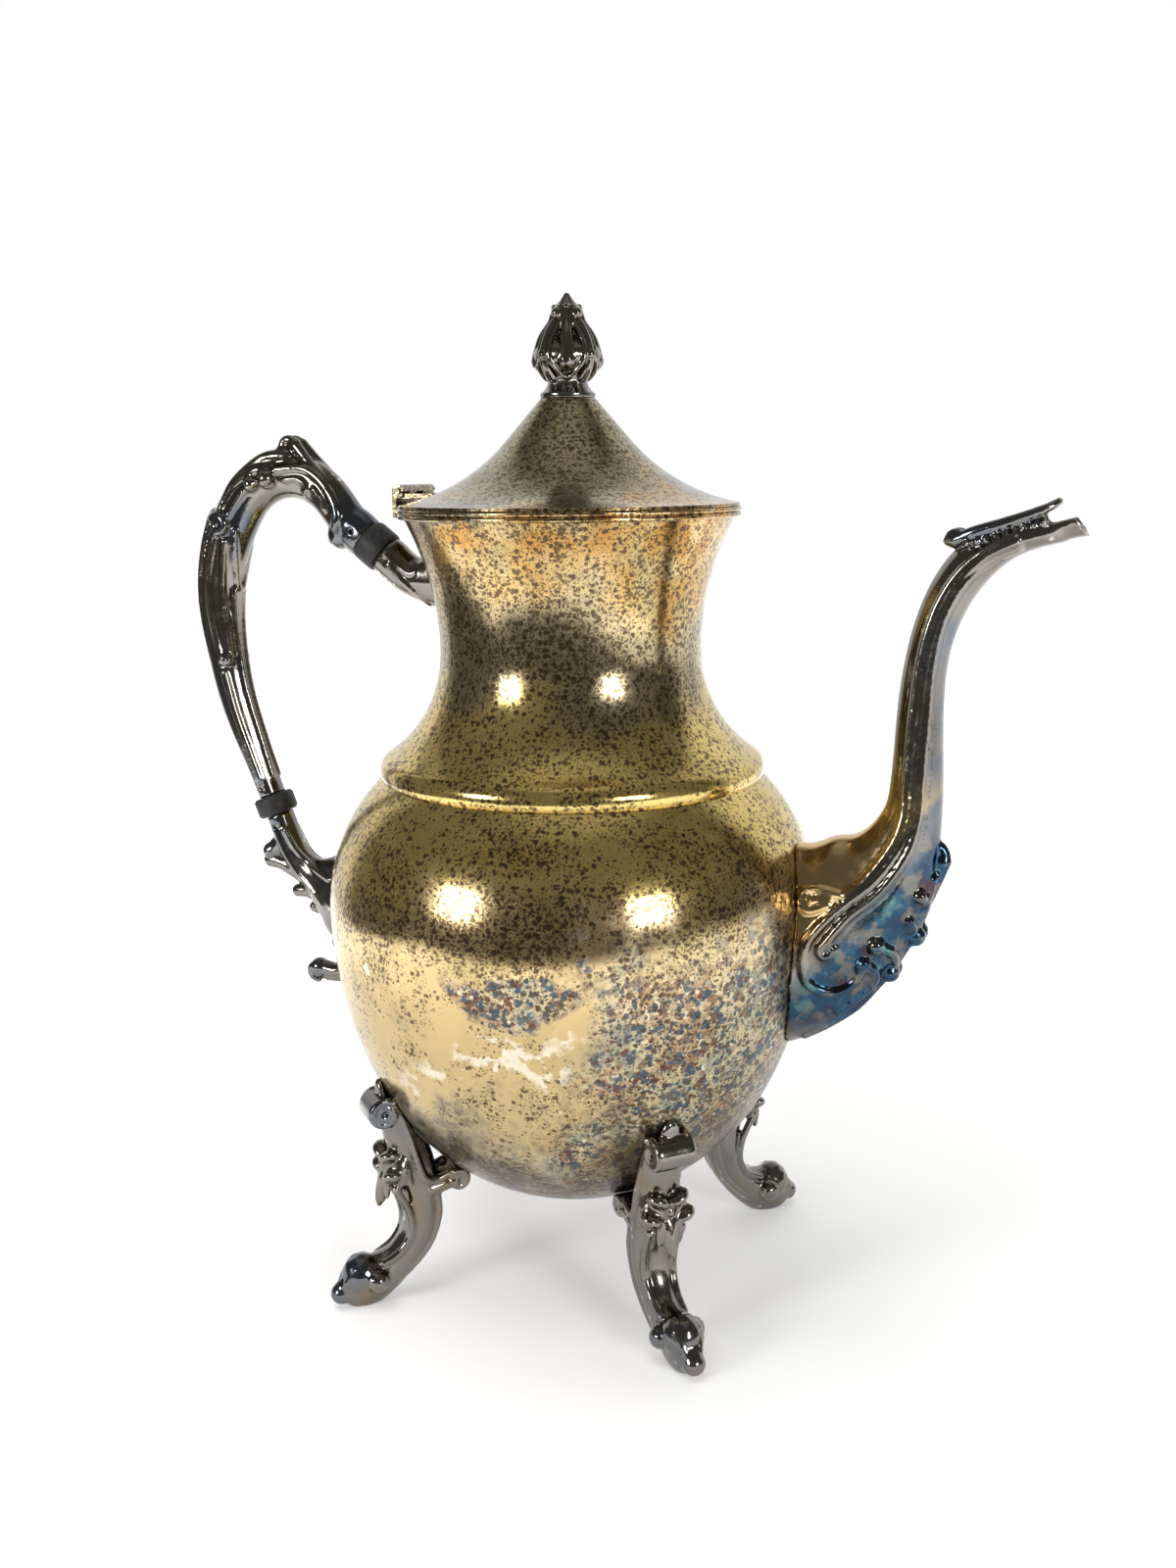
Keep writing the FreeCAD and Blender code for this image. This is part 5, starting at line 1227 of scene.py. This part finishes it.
@dataclass
class Finial:
    """The bud on the lid with its drops and curls, in millimetres."""

    drops: int = 4
    bearing: float = -70.0
    voxel: float = 0.26
    drop_line: tuple[Flat, ...] = ((7.2, 271.4), (7.3, 273.4), (6.4, 277.6), (4.4, 281.6), (3.8, 285.0))
    frame_line: tuple[Flat, ...] = ((6.0, 266.6), (8.4, 269.2), (9.3, 272.6), (8.0, 277.0), (5.2, 281.4), (4.2, 284.0))
    frame_turn: float = 33.0
    leaf_line: tuple[Flat, ...] = ((6.0, 267.0), (8.2, 270.0), (8.8, 273.6), (7.2, 278.2), (4.8, 282.0))

    def build(self, finish: bpy.types.Material) -> None:
        """Spin the bud and dress it."""
        bud = Outline(0.0, 261.25).line(7.7, 261.25).line(7.8, 262.6).arc(5.4, 266.2, 5.0, -1, 12)
        bud.arc(8.6, 270.4, 5.6, -1, 12).arc(8.9, 274.6, 3.6, 1, 12).arc(4.4, 282.4, 16.0, -1, 14)
        bud.arc(3.2, 286.4, 3.4, 1, 8).arc(0.6, 289.7, 12.0, -1, 6).line(0.0, 289.8)
        cast = Casting("finial", Body.LID, self.voxel, base=bud.spun("finial_bud", 72))
        for index in range(self.drops):
            angle = math.radians(self.bearing) + math.tau * index / self.drops
            self._drop(cast, Vector((math.cos(angle), math.sin(angle), 0.0)))
            angle += math.pi / self.drops
            self._curl(cast, Vector((math.cos(angle), math.sin(angle), 0.0)))
        cast.build(finish, 4)

    def _ridge(self, cast: Casting, way: Vector, points: Sequence[Flat], turn: float, thick: float,
               thin: float) -> None:
        """Lay a ridge on the bud that swings aside from one of its directions.

        Args:
            cast: The finial.
            way: Direction from the axis.
            points: Radius and height of the ridge.
            turn: Widest turn aside, degrees; none at both ends.
            thick: Radius at the start.
            thin: Radius at the end.
        """
        line = smooth_line(points)
        places = []
        for index, (radius, height) in enumerate(line):
            aside = math.radians(turn) * math.sin(math.pi * index / (len(line) - 1)) ** 0.7
            turned = Matrix.Rotation(aside, 3, "Z") @ way
            places.append(spot(turned.x * radius, turned.y * radius, height))
        cast.rope(places, thick, thin)

    def _drop(self, cast: Casting, way: Vector) -> None:
        """Add one drop, framed by a ridge on each side."""
        self._ridge(cast, way, self.drop_line, 0.0, 3.1, 0.6)
        for turn in (self.frame_turn, -self.frame_turn):
            self._ridge(cast, way, self.frame_line, turn, 0.75, 0.6)
        cast.ball(spot(way.x * 3.4, way.y * 3.4, 285.8), 1.0)

    def _curl(self, cast: Casting, way: Vector) -> None:
        """Add one leaf between two drops, with its round curl and ear."""
        self._ridge(cast, way, self.leaf_line, 0.0, 1.8, 1.0)
        cast.ball(spot(way.x * 9.0, way.y * 9.0, 272.8), 1.8)
        cast.ball(spot(way.x * 3.9, way.y * 3.9, 284.2), 1.6)


@dataclass
class Insulators:
    """The two round-edged fibre insulators of the handle, in millimetres."""

    upper: Flat = (-62.2, 219.6)
    upper_heading: float = 142.0
    upper_radius: float = 6.5
    upper_length: float = 8.0
    lower: Flat = (-102.2, 137.5)
    lower_heading: float = 291.0
    lower_radius: float = 6.4
    lower_length: float = 6.4
    rounding: float = 1.3

    def build(self, finish: bpy.types.Material) -> None:
        """Turn both insulators."""
        for node, middle, heading, radius, length in (
                ("upper_insulator", self.upper, self.upper_heading, self.upper_radius, self.upper_length),
                ("lower_insulator", self.lower, self.lower_heading, self.lower_radius, self.lower_length)):
            keep(self._barrel(node, middle, heading, radius, length), f"{node}_barrel", node, Body.POT,
                 finish)

    def _barrel(self, node: str, middle: Flat, heading: float, radius: float, length: float) -> bpy.types.Mesh:
        """Make one round-edged barrel.

        Args:
            node: Node name.
            middle: Middle, along the pot and upwards.
            heading: Direction of its axis, degrees from the spout's side upwards.
            radius: Radius.
            length: Length.

        Returns:
            The smooth mesh.
        """
        work = bmesh.new()
        turn = Matrix.Rotation(math.pi / 2 - math.radians(heading), 4, "Y")
        bmesh.ops.create_cone(work, cap_ends=True, segments=64, radius1=radius * MM, radius2=radius * MM,
                              depth=length * MM, matrix=Matrix.Translation(spot(middle[0], 0.0, middle[1])) @ turn)
        rims = [edge for edge in work.edges if any(len(face.verts) > 4 for face in edge.link_faces)]
        bmesh.ops.bevel(work, geom=rims, offset=self.rounding * MM, affect="EDGES", segments=5, profile=0.5,
                        material=-1)
        mesh = as_mesh(work, f"{node}_barrel")
        mesh.shade_smooth()
        return mesh


@dataclass
class Nodes:
    """CAD nodes whose own shape stays and gets a finish."""

    plate: tuple[str, ...] = ("hinge_neck_leaf", "hinge_lid_leaf")
    fastener: tuple[str, ...] = ("finial_screw", "finial_washer", "finial_nut", "hinge_pin", "upper_handle_pins",
                                 "lower_handle_pins")

    def dress(self, finishes: Finishes) -> None:
        """Give each node its material."""
        for names, material in ((self.plate, finishes.plate), (self.fastener, finishes.fastener)):
            for name in names:
                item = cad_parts[name]
                item.data.materials.clear()
                item.data.materials.append(material)
                LOG.info("%s: own shape", name)


@dataclass
class Studio:
    """Floor, soft light and camera, in millimetres from the pot's axis; the floor and the lamps' sizes in metres."""

    camera: Place = (160.2, -412.0, 242.5)
    forward: Place = (-0.3454, 0.916, -0.2039)
    roll: float = -0.59
    lens: float = 35.0
    aim: Place = (0.0, 0.0, 120.0)
    floor: tuple[Flat, ...] = ((-0.5, -0.46), (2.2, -0.46), (2.2, 2.6), (-1.4, 2.6), (-0.5, 0.3))
    paper: tuple[Colour, Colour] = ((0.90, 0.90, 0.90, 1.0), (0.94, 0.94, 0.935, 1.0))
    white: Colour = (1.0, 1.0, 1.0, 1.0)
    room: Colour = (0.125, 0.118, 0.105, 1.0)
    room_way: Place = (0.161, -0.987, 0.0)
    walls: Colour = (0.96, 0.97, 0.98, 1.0)
    ceiling: Colour = (0.42, 0.41, 0.38, 1.0)
    window_reach: float = 1000.0
    window_base: float = 130.0

    def build(self) -> None:
        """Set up everything round the pot."""
        scene = bpy.context.scene
        scene.view_settings.view_transform = "Standard"
        self._floor()
        self._world(scene)
        self._lamp("top_light", (-250.0, -150.0, 1250.0), 1.1, 1.1, 9.0, False)
        self._window("left_window", -53.5, 14.0, 0.29, 0.25, 3.4)
        self._window("right_window", 34.0, 14.0, 0.27, 0.24, 3.0)
        self._camera(scene)

    def _floor(self) -> None:
        """Lay the pale table, which whitens away from the pot and ends in front of it."""
        work = bmesh.new()
        work.faces.new([work.verts.new((x, y, 0.0)) for x, y in self.floor])
        table = bpy.data.objects.new("table", as_mesh(work, "table"))
        bpy.context.scene.collection.objects.link(table)
        shader = Shader("white_paper")
        shader.wire(shader.mix(shader.ramp(shader.noise(6.0, 3.0), 0.2, 0.8), *self.paper), "Base Color")
        shader.wire(0.75, "Roughness")
        reach = shader.add("VectorMath", {0: shader.place}, operation="LENGTH").outputs["Value"]
        glow = shader.math("ADD", shader.times(shader.ramp(reach, 0.16, 0.42), 0.70), 0.30)
        rays = shader.add("LightPath").outputs
        mirrored = shader.math("MAXIMUM", rays["Is Glossy Ray"], rays["Is Transmission Ray"])
        seen = shader.math("MAXIMUM", rays["Is Camera Ray"], mirrored)
        shader.wire(self.white, "Emission Color")
        shader.wire(shader.times(glow, seen), "Emission Strength")
        table.data.materials.append(shader.material)

    def _world(self, scene: bpy.types.Scene) -> None:
        """Make a white studio with a dim room on the camera's side.

        Args:
            scene: Scene that gets the world.
        """
        world = bpy.data.worlds.new("studio")
        scene.world = world
        world.use_nodes = True
        wiring = Wiring(world.node_tree)
        way = wiring.add("TexCoord").outputs["Generated"]
        facing = wiring.add("VectorMath", {0: way, 1: self.room_way}, operation="DOT_PRODUCT").outputs["Value"]
        up = wiring.add("SeparateXYZ", {0: way}).outputs[2]
        dim = wiring.times(wiring.ramp(facing, -0.53, -0.31), wiring.ramp(up, 0.99, 0.86))
        studio = wiring.mix(wiring.ramp(up, 0.55, 0.88), self.walls, self.ceiling)
        studio = wiring.mix(dim, studio, self.room)
        seen = wiring.add("LightPath").outputs["Is Camera Ray"]
        ground = wiring.add("Background", {0: wiring.mix(seen, studio, self.white)})
        wiring.add("OutputWorld", {0: ground.outputs[0]})

    def _lamp(self, name: str, place: Place, wide: float, tall: float, power: float, mirrored: bool = True) -> None:
        """Hang an area lamp that faces the pot.

        Args:
            name: Lamp name.
            place: Millimetres from the pot's axis.
            wide: Width, metres.
            tall: Height, metres.
            power: Watts.
            mirrored: Whether the metal shows the lamp itself.
        """
        light = bpy.data.lights.new(name, "AREA")
        light.shape = "RECTANGLE"
        light.size, light.size_y, light.energy = wide, tall, power
        lamp = bpy.data.objects.new(name, light)
        bpy.context.scene.collection.objects.link(lamp)
        lamp.visible_glossy = mirrored
        lamp.location = spot(*place)
        lamp.rotation_euler = (spot(*self.aim) - lamp.location).to_track_quat("-Z", "Y").to_euler()

    def _window(self, name: str, bearing: float, height: float, wide: float, tall: float, power: float) -> None:
        """Hang a lamp at a bearing from the camera's side.

        Args:
            name: Lamp name.
            bearing: Degrees to the right of the camera.
            height: Degrees above the horizon.
            wide: Width, metres.
            tall: Height, metres.
            power: Watts.
        """
        front = math.atan2(self.camera[1], self.camera[0]) + math.radians(bearing)
        lift = math.radians(height)
        level = self.window_reach * math.cos(lift)
        place = (level * math.cos(front), level * math.sin(front),
                 self.window_base + self.window_reach * math.sin(lift))
        self._lamp(name, place, wide, tall, power)

    def _camera(self, scene: bpy.types.Scene) -> None:
        """Put the camera where the picture was taken.

        Args:
            scene: Scene that gets the camera.
        """
        data = bpy.data.cameras.new("camera")
        data.lens, data.sensor_width, data.sensor_fit = self.lens, 36.0, "AUTO"
        data.clip_start = 0.01
        camera = bpy.data.objects.new("camera", data)
        scene.collection.objects.link(camera)
        forward = Vector(self.forward).normalized()
        right = forward.cross(Vector((0, 0, 1))).normalized()
        up = right.cross(forward)
        roll = math.radians(self.roll)
        level = right * math.cos(roll) + up * math.sin(roll)
        upper = up * math.cos(roll) - right * math.sin(roll)
        turn = Matrix((level, upper, -forward)).transposed().to_4x4()
        camera.matrix_world = Matrix.Translation(spot(*self.camera)) @ turn
        scene.camera = camera


def main() -> None:
    """Build the pot's pieces in order, then the studio."""
    logging.basicConfig(level=logging.INFO, format="%(message)s")
    finishes = Finishes()
    Bowl().build(finishes.plate)
    Neck().build(finishes.plate)
    Lid().build(finishes.plate)
    Finial().build(finishes.casting)
    Handle().build(finishes.casting)
    Sockets().build(finishes.casting)
    Spout().build(finishes.casting)
    Feet().build(finishes.casting)
    Insulators().build(finishes.fibre)
    Nodes().dress(finishes)
    Studio().build()


if __name__ == "__main__":
    main()
